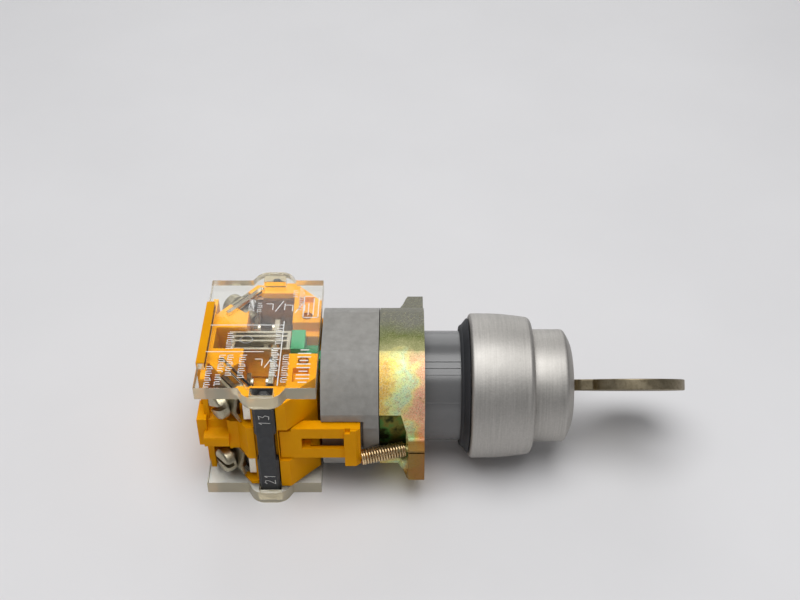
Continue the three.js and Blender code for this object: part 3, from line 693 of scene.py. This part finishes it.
guard = turned(
    [
        (11.8, 9), (11.8, GUARD_R - 0.1), (12, GUARD_R), (20.5, GUARD_R), (20.8, 11.41), (21.02, 11.3),
        (21.2, 11.12), (21.7, 10.3), (22.1, 9.5), (22.32, 8.95), (22.45, 8.5), (GUARD_FRONT, 8.1),
        (GUARD_FRONT, 7.15), (22.35, 7), (21.4, 7), (21.4, 9),
    ],
    256,
)
piece(guard, "lock_guard", "housing", finish_of("satin_aluminium"), bevel=0)

# ------------------------------------------------------------------ lock and key

TURN_TO_KEY = Matrix.Rotation(KEY_REST, 4, "X")


def lock_part(obj):
    """Turns a piece of the lock, modelled with its key lying flat, to the key's place at rest."""
    return moved(obj, TURN_TO_KEY)


lock_face = cut(
    turned([(13, PLUG_R + GAP), (13, 8.6), (21.0, 8.6), (21.2, 8.4), (21.2, PLUG_R + GAP)], 128),
    box((12, 16.1), (5, 7.2), (-2.6, 2.6)),
    box((12, 16.1), (-7.2, -5), (-2.6, 2.6)),
)
lock_body = join(
    cut(
        turned([(-5, PLUG_R + GAP), (-5, 8.4), (-4.8, 8.6), (13.2, 8.6), (13.2, PLUG_R + GAP)], 128),
        box((0.5, 14), (5, 7.2), (-2.6, 2.6)),
        box((0.5, 14), (-7.2, -5), (-2.6, 2.6)),
    ),
    lock_face,
)
piece(lock_part(lock_body), "lock_body", "housing", finish_of("brass"), bevel=0.05)

plug = turned(
    [
        (PLUG_REAR, 0), (PLUG_REAR, PLUG_R), (-5.95, PLUG_R), (-5.95, 5), (-5.05, 5), (-5.05, PLUG_R),
        (21.9, PLUG_R), (22.2, 5.7), (22.2, 0),
    ],
    128,
)
keyway = box((-3, 23), (-3.95, 3.95), (-1.3, 1.3))
shaft_socket = box((PLUG_REAR - 1, PLUG_REAR + 3), (-2.2, 2.2), (-2.2, 2.2))
plug_cuts = [keyway, shaft_socket]
plug_cuts += [box((x - 0.65, x + 0.65), (-7, 7), (-2.4, 2.4)) for x in WAFER_XS]
piece(lock_part(cut(plug, *plug_cuts)), "lock_plug", "lock_rotor", finish_of("brass"), bevel=0.06)


def key_outline():
    """The blade, cut on both edges, its neck and the round bow."""
    bow_centre, bow_radius, neck = 35.6, KEY_TIP - 35.6, 4.6
    edge = [(-2.6, -0.8), (-0.4, -BLADE_HALF_WIDTH)]
    for x in WAFER_XS:
        depth = 0.9 if x % 2 > 1 else 0.55
        cutting = ((-1.2, 0), (-0.45, depth), (0.45, depth), (1.2, 0))
        edge += [(x + dx, -BLADE_HALF_WIDTH + dy) for dx, dy in cutting]
    edge += [(22.9, -BLADE_HALF_WIDTH), (23.3, -BLADE_HALF_WIDTH - 0.1)]
    edge += [(24.0, -neck + 0.2), (24.5, -neck)]
    join_angle = math.pi - math.asin(neck / bow_radius)
    steps = 64
    angles = [-join_angle + 2 * join_angle * i / steps for i in range(1, steps)]
    bow = [(bow_centre + bow_radius * math.cos(a), bow_radius * math.sin(a)) for a in angles]
    return edge + bow + [(x, -y) for x, y in reversed(edge)]


key = prism(key_outline(), (-KEY_HALF_THICKNESS, KEY_HALF_THICKNESS))
key = cut(
    key,
    upright_rod(42, 0, -3, 3, 2.5, 64),
    box((-3, 22), (-0.8, 0.8), (0.65, 2)),
    box((-3, 22), (-0.8, 0.8), (-2, -0.65)),
)
piece(lock_part(key), "key", "key", finish_of("nickel_silver"), bevel=0.22, segments=3, angle=35)

# ------------------------------------------------------------------ adapter housing


def inward(depth, side):
    """From a depth out past the body, at the back for side 1 and at the front for side -1."""
    return (depth, 18) if side > 0 else (-18, -depth)


adapter = section(flattened_circle(BODY_R, SIDE_FLAT, FLAT), (ADAPTER_REAR, ADAPTER_FRONT))
along_spring = (SPRING_END - SPRING_START).normalized()
adapter = cut(
    adapter,
    rod((-19.05, 0, 0), (-15, 0, 0), BARREL_R + GAP, 128),
    rod((ADAPTER_REAR - 1, 0, 0), (-18.9, 0, 0), 9.6, 96),
    upright_rod(-21.7, 0, 9, 13.8, 1.4),
    rod(SPRING_START - 2.4 * along_spring, SPRING_START + 6 * along_spring, 1.95, 48),
    *[box(HOOK_XS, inward(12.9, side), (-4.25, 4.25)) for side in (1, -1)],
    *[box((ADAPTER_REAR - 1, -19.1), inward(LATCH_GROOVE, side), (-4.25, 4.25)) for side in (1, -1)],
    *[box((-19.2, ADAPTER_FRONT + 1), inward(LATCH_GROOVE, side), (-4.25, 2.4)) for side in (1, -1)],
)
piece(adapter, "adapter_housing", "housing", finish_of("grey_plastic"), bevel=0.22, segments=3, angle=14)

# ------------------------------------------------------------------ die-cast flange

cavity_floor = -10.8
half_turn = Matrix.Rotation(math.pi, 4, "X")
flange = section(flattened_circle(BODY_R, SIDE_FLAT, FLAT), (FLANGE_REAR, FLANGE_FACE))
lug_plan = [
    (-12.4, -13.5), (-11.4, -15.4), (-10.7, -17.4), (-10.35, -18), (FLANGE_FACE, -18),
    (FLANGE_FACE, -13.5),
]
lug = prism(lug_plan, (-8.6, -0.3))
flange = join(flange, copy_of(lug, half_turn), lug)
cavity = cut(
    section(flattened_circle(BODY_R - 1.6, SIDE_FLAT - 1.5, FLAT - 1.5), (FLANGE_REAR - 1, cavity_floor)),
    rod((FLANGE_REAR - 2, 0, 0), (cavity_floor + 1, 0, 0), 12.3, 96),
)
# turns an outline of z and x into one that is extruded along Y
WINDOW = Matrix(((0, 1, 0, 0), (0, 0, 1, 0), (1, 0, 0, 0), (0, 0, 0, 1)))
window = prism([(6, -17), (6, -11.8), (-0.3, -10.4), (-6.1, -10.4), (-6.1, -17)], (-20, -13), WINDOW)
screw_hole = rod(
    (-14, CLAMP_SCREW_Y, CLAMP_SCREW_Z), (-5, CLAMP_SCREW_Y, CLAMP_SCREW_Z), CLAMP_SCREW_R + 0.1, 24
)
lug_groove = box((-13, FLANGE_FACE + 1), (-19, -17.0), (-1.15, -0.75))
flange = cut(
    flange,
    cavity,
    rod((FLANGE_REAR - 2, 0, 0), (FLANGE_FACE + 2, 0, 0), BARREL_R + GAP, 128),
    copy_of(window, half_turn),
    window,
    copy_of(screw_hole, half_turn),
    screw_hole,
    copy_of(lug_groove, half_turn),
    lug_groove,
)
peg = rod((-12.6, SPRING_END.y, SPRING_END.z), (cavity_floor + 1, SPRING_END.y, SPRING_END.z), 0.7, 24)
flange = join(flange, peg)
piece(flange, "mounting_flange", "housing", finish_of("chromated_zinc"), bevel=0.25, segments=3, angle=14)

for name, side in (("front", 1), ("back", -1)):
    y, z = side * CLAMP_SCREW_Y, side * CLAMP_SCREW_Z
    screw = cut(
        rod((-10.3, y, z), (FLANGE_FACE - 0.05, y, z), CLAMP_SCREW_R, 32),
        box((-11, -9.6), (y - 2, y + 2), (z - 0.25, z + 0.25)),
    )
    node = f"clamp_screw_{name}"
    piece(screw, node, node, finish_of("zinc_plated_steel"), bevel=0.08)

# ------------------------------------------------------------------ latch

latch = join(
    box((LATCH_PIVOT.x + 2.4, LATCH_END), (LATCH_OUTER, LATCH_INNER), (-4, 4)),
    box((LATCH_PIVOT.x - 1.2, LATCH_PIVOT.x + 2.6), (LATCH_OUTER, -14.5), (-4, 4)),
    prism(
        [(-22.8, -14.8), (-22.8, -16.8), (-20.6, -16.8), (LATCH_END, -16), (LATCH_END, -14.8)], (-5.9, 3.9)
    ),
    box((HOOK_XS[0] + 0.3, HOOK_XS[1] - 0.9), (LATCH_INNER - 0.2, -13.2), (-3.8, 3.8)),
    rod((-19.9, -15.7, -4.2), (-18.2, -15.45, -4.2), 0.6, 24),
)
latch = cut(
    latch,
    box((-31.1, -22.9), (-18, -13), (-1.4, 1.4)),
    section([(-15.7, -1.35), (-13.8, -1.35), (-13.8, -3.1)], (-29.5, -22.9)),
    upright_rod(LATCH_PIVOT.x, LATCH_PIVOT.y, -9, 9, LATCH_PIN_R + 0.1),
    prism([(-35.4, -13.9), (-31.6, -13.9), (-33.6, -17.2), (-35.4, -17.2)], (3.3, 5)),
    box((-22.7, -21.6), (-17, -16.1), (3.1, 4.2)),
)
piece(latch, "latch_arm", "latch", finish_of("yellow_plastic"), bevel=0.16, segments=3)

stretching_spring(
    coil(SPRING_START - 0.6 * along_spring, SPRING_END, 1.4, 0.2, 17, closed_ends=1.5),
    "latch_spring",
    "spring_steel",
)

# ------------------------------------------------------------------ contact block

slant_along = (SLANT_FRONT - SLANT_REAR).normalized()
SLANT_TURN = Matrix.Rotation(math.atan2(-slant_along.x, slant_along.y), 4, "Z")
AT_TERMINAL = Matrix.Translation(TERMINAL) @ SLANT_TURN
CORNERS = [(side, level) for side in (1, -1) for level in (1, -1)]


def mirror(side, level):
    """From the front's upper quarter of the block to any other."""
    return Matrix.Diagonal((1, side, level, 1))


def block_plan():
    """The block seen from above: slanted behind the terminals, a wall at the strip, tapered in front."""
    front = [
        (-50, SLANT_REAR.y + 1), (SLANT_REAR.x, SLANT_REAR.y), (SLANT_FRONT.x, SLANT_FRONT.y),
        (-40.2, SLANT_FRONT.y), (-40.2, -15.7), (-35.6, -15.7), (-35.6, WALL_FACE), (-33.7, WALL_FACE),
        (BLOCK_FRONT, -11.3),
    ]
    return front + [(x, -y) for x, y in reversed(front)]


def block_rooms(side, level):
    """The rooms for the terminal, contacts, carrier and cover pegs in one quarter of the block."""
    place = mirror(side, level)
    rooms = [
        box((-3.1, 2.4), (-2.8, 2.3), (-3.3, 6), AT_TERMINAL),
        box((-44.3, -40.1), (-20, -15.6), (4.3, 10.9)),
        box((-44.3, -40.6), (-20, -10.4), (4.3, 10.9)),
        box((-42.6, -33.6), (-13.7, 1), (DECK, 15)),
        box((-48.6, BLOCK_FRONT + 1), (-3.1, 1), (DECK, 15)),
        upright_rod(*PEG_PLACE, 8.8, 13, 1.1, 24),
        box((-33.7, BLOCK_FRONT + 1), (-4.6, 0), (9.2, 15)),
        box((-32.6, BLOCK_FRONT - 1.4), (-12.5, -8.6), (10.2, 15)),
    ]
    return [moved(room, place) for room in rooms]


def shelf(side):
    """The stepped yellow shelf between the upper and lower terminals, on one side of the block."""
    nose_side = [
        (-9, 3.2), (-11.6, 2.7), (-12.1, 2.3), (-12.35, 1.3), (-12.7, 0.75), (-13.4, 0.6), (-14.7, 0.5),
        (-15.15, 0.25), (-15.3, -0.3), (-15.2, -2.0), (-9, -2.0),
    ]
    parts = [
        box((BLOCK_REAR, -49.7), (-13.4, -8), (-3.4, 3.6)),
        box((-50.2, -49.2), (-11.8, -6), (-BLOCK_HALF_HEIGHT, BLOCK_HALF_HEIGHT)),
        section(nose_side, (-50.3, -45.4)),
        box((-45.6, -42.0), (-13.9, -8), (-3.9, 4.0)),
        box((-42.1, -40.2), (-15.3, -8), (-3.6, 4.6)),
        section([(-8, -0.4), (-15.3, -0.4), (-16.0, -4.2), (-8, -4.2)], (-42.1, -40.2)),
    ]
    return [moved(part, mirror(side, 1)) for part in parts]


block = join(
    prism(block_plan(), (-BLOCK_HALF_HEIGHT, BLOCK_HALF_HEIGHT)),
    box((-51.1, -49.5), (-9.1, 9.1), (-FLAT, FLAT)),
    *shelf(1),
    *shelf(-1),
    box((-34, LATCH_END), (-LATCH_INNER, -LATCH_OUTER), (-4, 4)),
    box((HOOK_XS[0] + 0.3, HOOK_XS[1] - 0.9), (13.2, -LATCH_OUTER), (-3.8, 3.8)),
)
rooms = [room for side, level in CORNERS for room in block_rooms(side, level)]
block = cut(
    block,
    *rooms,
    box((-35.5, -27), (-20, -14.2), (-4.3, 4.3)),
    box((-31.9, -27), (-20, -13.8), (-4.3, 4.3)),
    upright_rod(LATCH_PIVOT.x, LATCH_PIVOT.y, -6.6, 6.6, LATCH_PIN_R + 0.07),
)
piece(block, "contact_housing", "housing", finish_of("yellow_plastic"), bevel=0.14)

# ------------------------------------------------------------------ clear covers, print and strips


def cover_plan():
    """A cover seen from above, with a rounded tab over each strip."""
    round_to_left = [(TAB_X + x, -y) for x, y in arc((-1.1, TAB_REACH - 3.2), 3.2, 143, 95, 6)]
    round_to_right = [(TAB_X + x, -y) for x, y in arc((1.1, TAB_REACH - 3.2), 3.2, 85, 37, 6)]
    front = [
        (-49.5, -9.2), (-50.8, -9.2), (-50.8, -COVER_HALF_DEPTH), (TAB_X - 4.5, -COVER_HALF_DEPTH),
        *round_to_left, *round_to_right, (TAB_X + 4.5, -COVER_HALF_DEPTH), (-27.8, -COVER_HALF_DEPTH),
    ]
    return front + [(x, -y) for x, y in reversed(front)]


def make_cover(level, name):
    """A clear cover with a slanted slot behind each terminal, two pegs and a pocket for each strip."""
    slot_z = (COVER_BOTTOM - 1.4 - PLUNGER_LEVEL, COVER_BOTTOM + 1.3 - PLUNGER_LEVEL)
    pocket_x = (TAB_X - STRIP_HALF_WIDTH - GAP, TAB_X + STRIP_HALF_WIDTH + GAP)
    pegs, pockets = [], []
    for side in (1, -1):
        flip = mirror(side, 1)
        pegs.append(moved(upright_rod(*PEG_PLACE, 9.6, COVER_BOTTOM + 0.2, 0.85, 24), flip))
        pockets.append(moved(box((-1.35, -0.3), (-5.6, 4.6), slot_z, AT_TERMINAL), flip))
        pockets.append(moved(box(pocket_x, (STRIP_FACE - GAP, -15.7), (COVER_BOTTOM - 1, 14.3)), flip))
    cover = cut(join(prism(cover_plan(), (COVER_BOTTOM, COVER_TOP)), *pegs), *pockets)
    moved(cover, mirror(1, level))
    made = piece(cover, name, "housing", finish_of("clear_plastic"))
    # clear plastic would cast a dark shadow here, so the lamps are let through to what lies under it
    made.visible_shadow = False
    # its outer side faces are yellowed and milky
    made.data.materials.append(surfaces["clear_edge"].material)
    for face in made.data.polygons:
        x, y = face.center.x / MM - PANEL_X, abs(face.center.y / MM)
        outside = y > COVER_HALF_DEPTH - 0.05 or x < -49.4 or x > -27.9
        if abs(face.normal.z) < 0.5 and outside:
            face.material_index = 1


def flat_line(points, width, closed=False):
    """A thin printed line through points in plan, as quads side by side."""
    bm = bmesh.new()
    pts = [Vector((x, y, 0)) for x, y in points]
    if closed:
        pts.append(pts[0])
    for a, b in zip(pts, pts[1:]):
        along = (b - a).normalized()
        across = Vector((-along.y, along.x, 0)) * width / 2
        end = along * width / 2
        corners = [a - end - across, b + end - across, b + end + across, a - end + across]
        low = [bm.verts.new(c) for c in corners]
        high = [bm.verts.new(c + Vector((0, 0, 0.012))) for c in corners]
        bm.faces.new(low[::-1])
        bm.faces.new(high)
        for i in range(4):
            j = (i + 1) % 4
            bm.faces.new((low[i], low[j], high[j], high[i]))
    return bm


def printed(bms, name, matrix):
    """Joins printed lines into one piece of white ink, laid by a matrix."""
    joined = bmesh.new()
    for bm in bms:
        mesh = bpy.data.meshes.new("line")
        bm.to_mesh(mesh)
        bm.free()
        joined.from_mesh(mesh)
        bpy.data.meshes.remove(mesh)
    joined.transform(matrix)
    obj = as_object(joined, name)
    obj.data.transform(TO_PART)
    obj.data.materials.append(surfaces["white_ink"].material)
    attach(obj, "housing")


# Digits on a 2 by 4 grid, drawn as pen strokes.
DIGITS = {
    "1": [[(0.4, 3.1), (1.2, 4), (1.0, 0)]],
    "2": [[(0, 3.3), (0.7, 4), (1.7, 3.7), (1.8, 2.7), (0, 0), (2, 0.1)]],
    "3": [[(0.1, 3.8), (1.8, 4), (1, 2.4), (1.9, 1.6), (1.4, 0.2), (0, 0.3)]],
    "4": [[(1.5, 0), (1.7, 4), (0, 1.2), (2.1, 1.3)]],
}


def strokes(text, size, width):
    """Pen strokes for a row of digits, size millimetres to a grid step."""
    made = []
    for i, letter in enumerate(text):
        for stroke in DIGITS[letter]:
            made.append(flat_line([(size * (x + 3 * i), size * y) for x, y in stroke], width))
    return made


def print_on_cover(level, name):
    """A generic contact diagram, rules and rows of short ticks, printed in white."""
    line, lines = 0.2, []
    lines.append(flat_line([(-49.6, 1.9), (-35.2, 1.9)], line))
    lines.append(flat_line([(-49.6, -5.9), (-38.4, -5.9)], line))
    lines.append(flat_line([(-35.0, 3.0), (-35.0, -15.2)], line))
    # an open contact three times: two leads and a blade
    for x, y in ((-37.6, 6.6), (-33.6, 6.2), (-38.4, -9.8)):
        lines.append(flat_line([(x, y), (x, y + 1.8), (x - 1.3, y + 1.8)], line))
        lines.append(flat_line([(x + 2.4, y), (x + 2.4, y + 1.8)], line))
        lines.append(flat_line([(x + 0.6, y - 0.5), (x + 2.0, y + 2.6)], line))
    turns = [2 * math.pi * i / 24 for i in range(24)]
    circle = [(-42.0 + 1.2 * math.cos(a), -2.4 + 1.0 * math.sin(a)) for a in turns]
    lines.append(flat_line(circle, line, closed=True))
    # an empty label frame with two rules in it, and a scale, near the front edge
    frame_corners = [(-31.4, 4.2), (-28.4, 4.2), (-28.4, 10.8), (-31.4, 10.8)]
    lines.append(flat_line(frame_corners, line, closed=True))
    for x, end in ((-30.4, 8.6), (-29.4, 10.0)):
        lines.append(flat_line([(x, 5.0), (x, end)], line))
    for i in range(10):
        y = -5.4 - 1.0 * i
        tall = 1.15 if i % 3 else 0.7
        lines.append(flat_line([(-30.4 - tall, y), (-30.4 + tall, y)], 0.28))
    # rows of short strokes: place, number, half height and stroke width
    rows = (
        (-45.1, -0.6, 8, 0.6, 0.19), (-46.1, -6.9, 8, 0.55, 0.19), (-44.5, -6.9, 10, 0.55, 0.19),
        (-42.1, -6.9, 11, 0.6, 0.19), (-48.2, -10.1, 10, 0.55, 0.19), (-46.3, -12.4, 5, 0.55, 0.19),
        (-36.0, -5.0, 13, 0.7, 0.26), (-33.8, -6.9, 13, 0.6, 0.19), (-35.7, 0.9, 8, 0.55, 0.19),
        (-41.8, 9.6, 6, 0.6, 0.19), (-40.2, 8.6, 5, 0.45, 0.17), (-31.9, 13.4, 12, 0.45, 0.16),
        (-33.2, 12.6, 4, 0.45, 0.16),
    )
    for row, (x, y, count, tall, width) in enumerate(rows):
        for i in range(count):
            step = (i * 7 + row * 3) % 5
            low, high = (x - tall, x + tall * (0.4 + 0.15 * step))
            start = y - 0.62 * i
            lines.append(flat_line([(low, start), (high, start)], width))
            if step % 2:
                lines.append(flat_line([(low, start), (low, start - 0.34)], width))
            if step == 2:
                lines.append(flat_line([(high, start), (high, start - 0.3)], width))
    lift = Matrix.Translation((0, 0, COVER_TOP + 0.008))
    printed(lines, f"{name}_print", mirror(1, level) @ lift)


# lays an outline of x along the strip's width and z up it, extruded towards the front
STRIP_FRONT = Matrix(((1, 0, 0, TAB_X), (0, 0, -1, 0), (0, 1, 0, 0), (0, 0, 0, 1)))


def make_strip(side, numbers, name):
    """A black marking strip with a waist and pointed ends, and its two terminal numbers."""
    half, bevel = STRIP_HALF_WIDTH, 0.6
    plan = [
        (TAB_X - half, -15.85), (TAB_X - half, STRIP_FACE + bevel), (TAB_X - half + bevel, STRIP_FACE),
        (TAB_X + half - bevel, STRIP_FACE), (TAB_X + half, STRIP_FACE + bevel), (TAB_X + half, -15.85),
    ]
    end, waist = 13.6, 4.0
    made = prism(plan, (-end, end))
    trims = []
    for left in (1, -1):
        edge = [(left * (half + 1), waist), (left * (half - 0.45), waist - 0.5)]
        edge += [(x, -z) for x, z in reversed(edge)]
        trims.append(prism(edge, (15, 19), STRIP_FRONT))
        for up in (1, -1):
            reach = 1.5 if left < 0 else 0.9
            corner = [(left * (half + 0.1), up * (end - 2 * reach)), (left * (half + 0.1), up * (end + 1))]
            corner.append((left * (half - reach - 0.6), up * (end + 0.4)))
            trims.append(prism(corner, (15, 19), STRIP_FRONT))
    made = moved(cut(made, *trims), mirror(side, 1))
    piece(made, name, "housing", finish_of("black_plastic"), bevel=0.1)
    lines = []
    for text, level in zip(numbers, (6.4, -10.2)):
        # printed sideways, to be read up the strip's face
        place = Matrix.Translation((TAB_X + 1.2 * side, side * (STRIP_FACE - 0.002), level)) @ Matrix(
            ((0, -side, 0, 0), (0, 0, side, 0), (1, 0, 0, 0), (0, 0, 0, 1))
        )
        for stroke in strokes(text, 0.52, 0.11):
            stroke.transform(place)
            lines.append(stroke)
    printed(lines, f"{name}_numbers", Matrix())


make_cover(1, "cover_top")
make_cover(-1, "cover_bottom")
print_on_cover(1, "cover_top")
print_on_cover(-1, "cover_bottom")
make_strip(1, ("13", "21"), "marking_strip_front")
make_strip(-1, ("14", "22"), "marking_strip_back")

# ------------------------------------------------------------------ terminals


def fixed_contact(tip_face, lift):
    """Terminal plate, the strip that lines the contact room, and the arm with its silver tip.

    tip_face is -1 where the tip lies behind the moving bridge and 1 where it lies in front of it.
    """
    here = Matrix.Translation((0, 0, lift)) @ AT_TERMINAL
    bridge_tip = BRIDGE_XS[0] - 0.5 if tip_face < 0 else BRIDGE_XS[1] + 0.5
    open_gap = PLUNGER_TRAVEL + 0.05 if tip_face < 0 else 0.05
    tip_x = bridge_tip + tip_face * (open_gap + 0.45)
    arm_x = (tip_x, tip_x + 0.8) if tip_face > 0 else (tip_x - 0.8, tip_x)
    z = PLUNGER_LEVEL
    made = join(
        box((0.15, 0.95), (-3, 1.6), (-2.9, 2.9), here),
        box((-42.0, -40.25), (-15.1, -12.9), (z + lift - 2.4, z + lift + 2.7)),
        box((-42.3, -33.8), (-13.5, -12.8), (DECK + 0.1, z + 3.4)),
        box(arm_x, (-13.4, -6.4), (z - 1.2, z + 1.2)),
        box((-42.3, -33.8), (-13.4, -10.2), (DECK + 0.1, DECK + 0.7)),
        rod((tip_x + 0.2 * tip_face, -8, z), (tip_x - 0.45 * tip_face, -8, z), 0.95, 40),
    )
    return cut(made, moved(rod((-2, 0, 0), (2, 0, 0), SCREW_HOLE_R, 48), here))


def terminal_screw(slot_degrees):
    """A pan-head screw along X, with its slot turned so many degrees."""
    head = turned(
        [
            (-2.6, 0), (-2.6, 0.9), (-2.1, SCREW_R), (2.7, SCREW_R), (2.7, 2.4), (2.85, 2.6), (4.0, 2.6),
            (4.35, 2.52), (4.65, 2.25), (4.8, 1.8), (4.8, 0),
        ],
        72,
    )
    slot_turn = Matrix.Rotation(math.radians(slot_degrees), 4, "X")
    return cut(head, box((3.3, 6), (-3, 3), (-0.44, 0.44), slot_turn))


def clamp_plate():
    """The bent wire clamp under a terminal screw's head."""
    outline = [
        (1.3, 3.0), (1.85, 3.0), (2.6, 0.2), (2.6, -0.2), (1.5, -3.2), (0.9, -3.2), (1.95, -0.2), (1.95, 0.2),
    ]
    bent = prism(outline, (-3.4, 3.2), Matrix.Rotation(math.pi / 2, 4, "X"))
    return cut(bent, rod((0, 0, 0), (4, 0, 0), SCREW_HOLE_R, 48))


def make_terminal(pair, corner, side, level, tip_face):
    """One terminal at a corner of the block: fixed contact, screw and wire clamp."""
    flip = mirror(side, level)
    lift = UPPER_LIFT if level > 0 else 0
    place = flip @ Matrix.Translation((0, 0, lift)) @ AT_TERMINAL
    where = f"{pair}_{corner}"
    contact = moved(fixed_contact(tip_face, lift), flip)
    fixed = piece(contact, f"terminal_{where}", "housing", finish_of("contact_silver"), bevel=0.08)
    fixed.data.materials.append(surfaces["dark_brown_strip"].material)
    # silver at the terminal plate and the tip, dark brown metal on the strip in between
    for face in fixed.data.polygons:
        if 9.2 * MM < abs(face.center.y) < 13.65 * MM:
            face.material_index = 1
    body = f"terminal_clamp_{where}"
    steel = finish_of("zinc_plated_steel")
    screw = moved(terminal_screw(33 if level > 0 else -10), place)
    piece(screw, f"terminal_screw_{where}", body, steel, bevel=0.06)
    piece(moved(clamp_plate(), place), f"clamp_plate_{where}", body, steel, bevel=0.1)


def make_carrier(pair, level):
    """The metal cage that carries the moving bridge: a floor, two side rails and thin bars on top."""
    x_range, y_range, bar_level = (-46, -33.7), (-2.7, 2.7), (9.9, 11.0)
    bars = [box((-45.4, x_range[1]), (y - 0.24, y + 0.24), bar_level) for y in (2.45, 1.25, -0.1, -2.45)]
    rails = [box(x_range, (y - 0.25, y + 0.25), (3.6, bar_level[1])) for y in (2.45, -2.45)]
    carrier = join(
        box(x_range, y_range, (3.6, 4.6)),
        *rails,
        *bars,
        box((-39.3, -38.4), y_range, (3.6, 8.2)),
        box((-45.4, -44.8), y_range, (8.8, 9.95)),
        box((-34.4, x_range[1]), y_range, bar_level),
    )
    carrier = cut(carrier, box((BRIDGE_XS[0] - 0.25, BRIDGE_XS[1] + 0.25), (-4, 4), (5.5, 8.7)))
    finish = finish_of("contact_silver", "zinc_plated_steel")
    piece(moved(carrier, mirror(1, level)), f"contact_carrier_{pair}", f"contact_{pair}", finish, bevel=0.07)


def make_return_spring(pair, level):
    """The coil behind a carrier, squeezed against the block's rear wall."""
    seat = PLUNGER_LEVEL - 0.4
    spring = coil((-48.3, 0, seat), (-39.6, 0, seat), 1.5, 0.22, 8, closed_ends=1)
    stretching_spring(
        moved(spring, mirror(1, level)),
        f"return_spring_{pair}",
        "zinc_plated_steel",
    )


for pair, level, tip_face in (("no", 1, -1), ("nc", -1, 1)):
    for corner, side in (("front", 1), ("back", -1)):
        make_terminal(pair, corner, side, level, tip_face)
    make_carrier(pair, level)
    make_return_spring(pair, level)

# ------------------------------------------------------------------ CAD nodes that keep their shape

replaced = {name for obj in bpy.data.objects for name in obj.get("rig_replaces", [])}
for name, node in frame["nodes"].items():
    if name in replaced:
        continue
    clean = node.modifiers.new("clean", "DECIMATE")
    clean.decimate_type = "DISSOLVE"
    clean.angle_limit = math.radians(1)
    rounding = node.modifiers.new("rounding", "BEVEL")
    rounding.width = 0.08 * MM
    rounding.segments = 2
    rounding.limit_method = "ANGLE"
    rounding.angle_limit = math.radians(32)
    rounding.harden_normals = True
    node.data.shade_smooth()

# ------------------------------------------------------------------ table, light and camera


def table_material():
    """A pale table top with faint clouds and a few grey specks."""
    s = Surface("table")
    cloud = s.noise(0.02, 4, 0.5)
    specks = s.spread(s.noise(0.35, 3, 0.8, shift=(2, 5, 0)), 0, 0.12, 0.72, 0.78)
    base = s.mix(s.spread(cloud, 0, 1), (0.70, 0.695, 0.705), (0.73, 0.725, 0.735))
    s.set("Base Color", s.mix(specks, base, (0.5, 0.5, 0.5)))
    s.set("Roughness", s.spread(s.noise(0.6, 4), 0.5, 0.62))
    s.set("Normal", s.bump(s.noise(2.5, 4), 0.01, 0.4))
    return s.material


table_reach = 3.0
bm = bmesh.new()
corners = ((-1, -1), (1, -1), (1, 1), (-1, 1))
bm.faces.new([bm.verts.new((x * table_reach, y * table_reach, 0)) for x, y in corners])
table = as_object(bm, "table")
table.data.materials.append(table_material())


def area_light(name, place, target, size, power):
    """A round soft lamp that faces its target; places and size in metres, power in watts."""
    data = bpy.data.lights.new(name, "AREA")
    data.energy = power
    data.shape = "DISK"
    data.size = size
    lamp = bpy.data.objects.new(name, data)
    bpy.context.scene.collection.objects.link(lamp)
    lamp.location = place
    lamp.rotation_euler = (Vector(target) - Vector(place)).to_track_quat("-Z", "Y").to_euler()


area_light("overhead", (-0.02, -0.06, 0.62), (0, 0, 0.01), 0.62, 3.4)
area_light("back", (0.0, 1.4, 0.57), (0, 0, 0), 1.2, 4.5)

world = bpy.data.worlds.new("studio")
world.use_nodes = True
world.node_tree.nodes["Background"].inputs["Color"].default_value = (0.96, 0.97, 1.0, 1)
world.node_tree.nodes["Background"].inputs["Strength"].default_value = 0.235
bpy.context.scene.world = world
bpy.context.scene.view_settings.view_transform = "Standard"

camera_data = bpy.data.cameras.new("camera")
camera_data.lens = 54.3
camera_data.sensor_width = 36
camera_data.clip_start = 0.01
camera = bpy.data.objects.new("camera", camera_data)
bpy.context.scene.collection.objects.link(camera)
camera.location = (-0.0092, -0.1780, 0.1868)
camera.rotation_euler = (math.radians(50), 0, 0)
bpy.context.scene.camera = camera
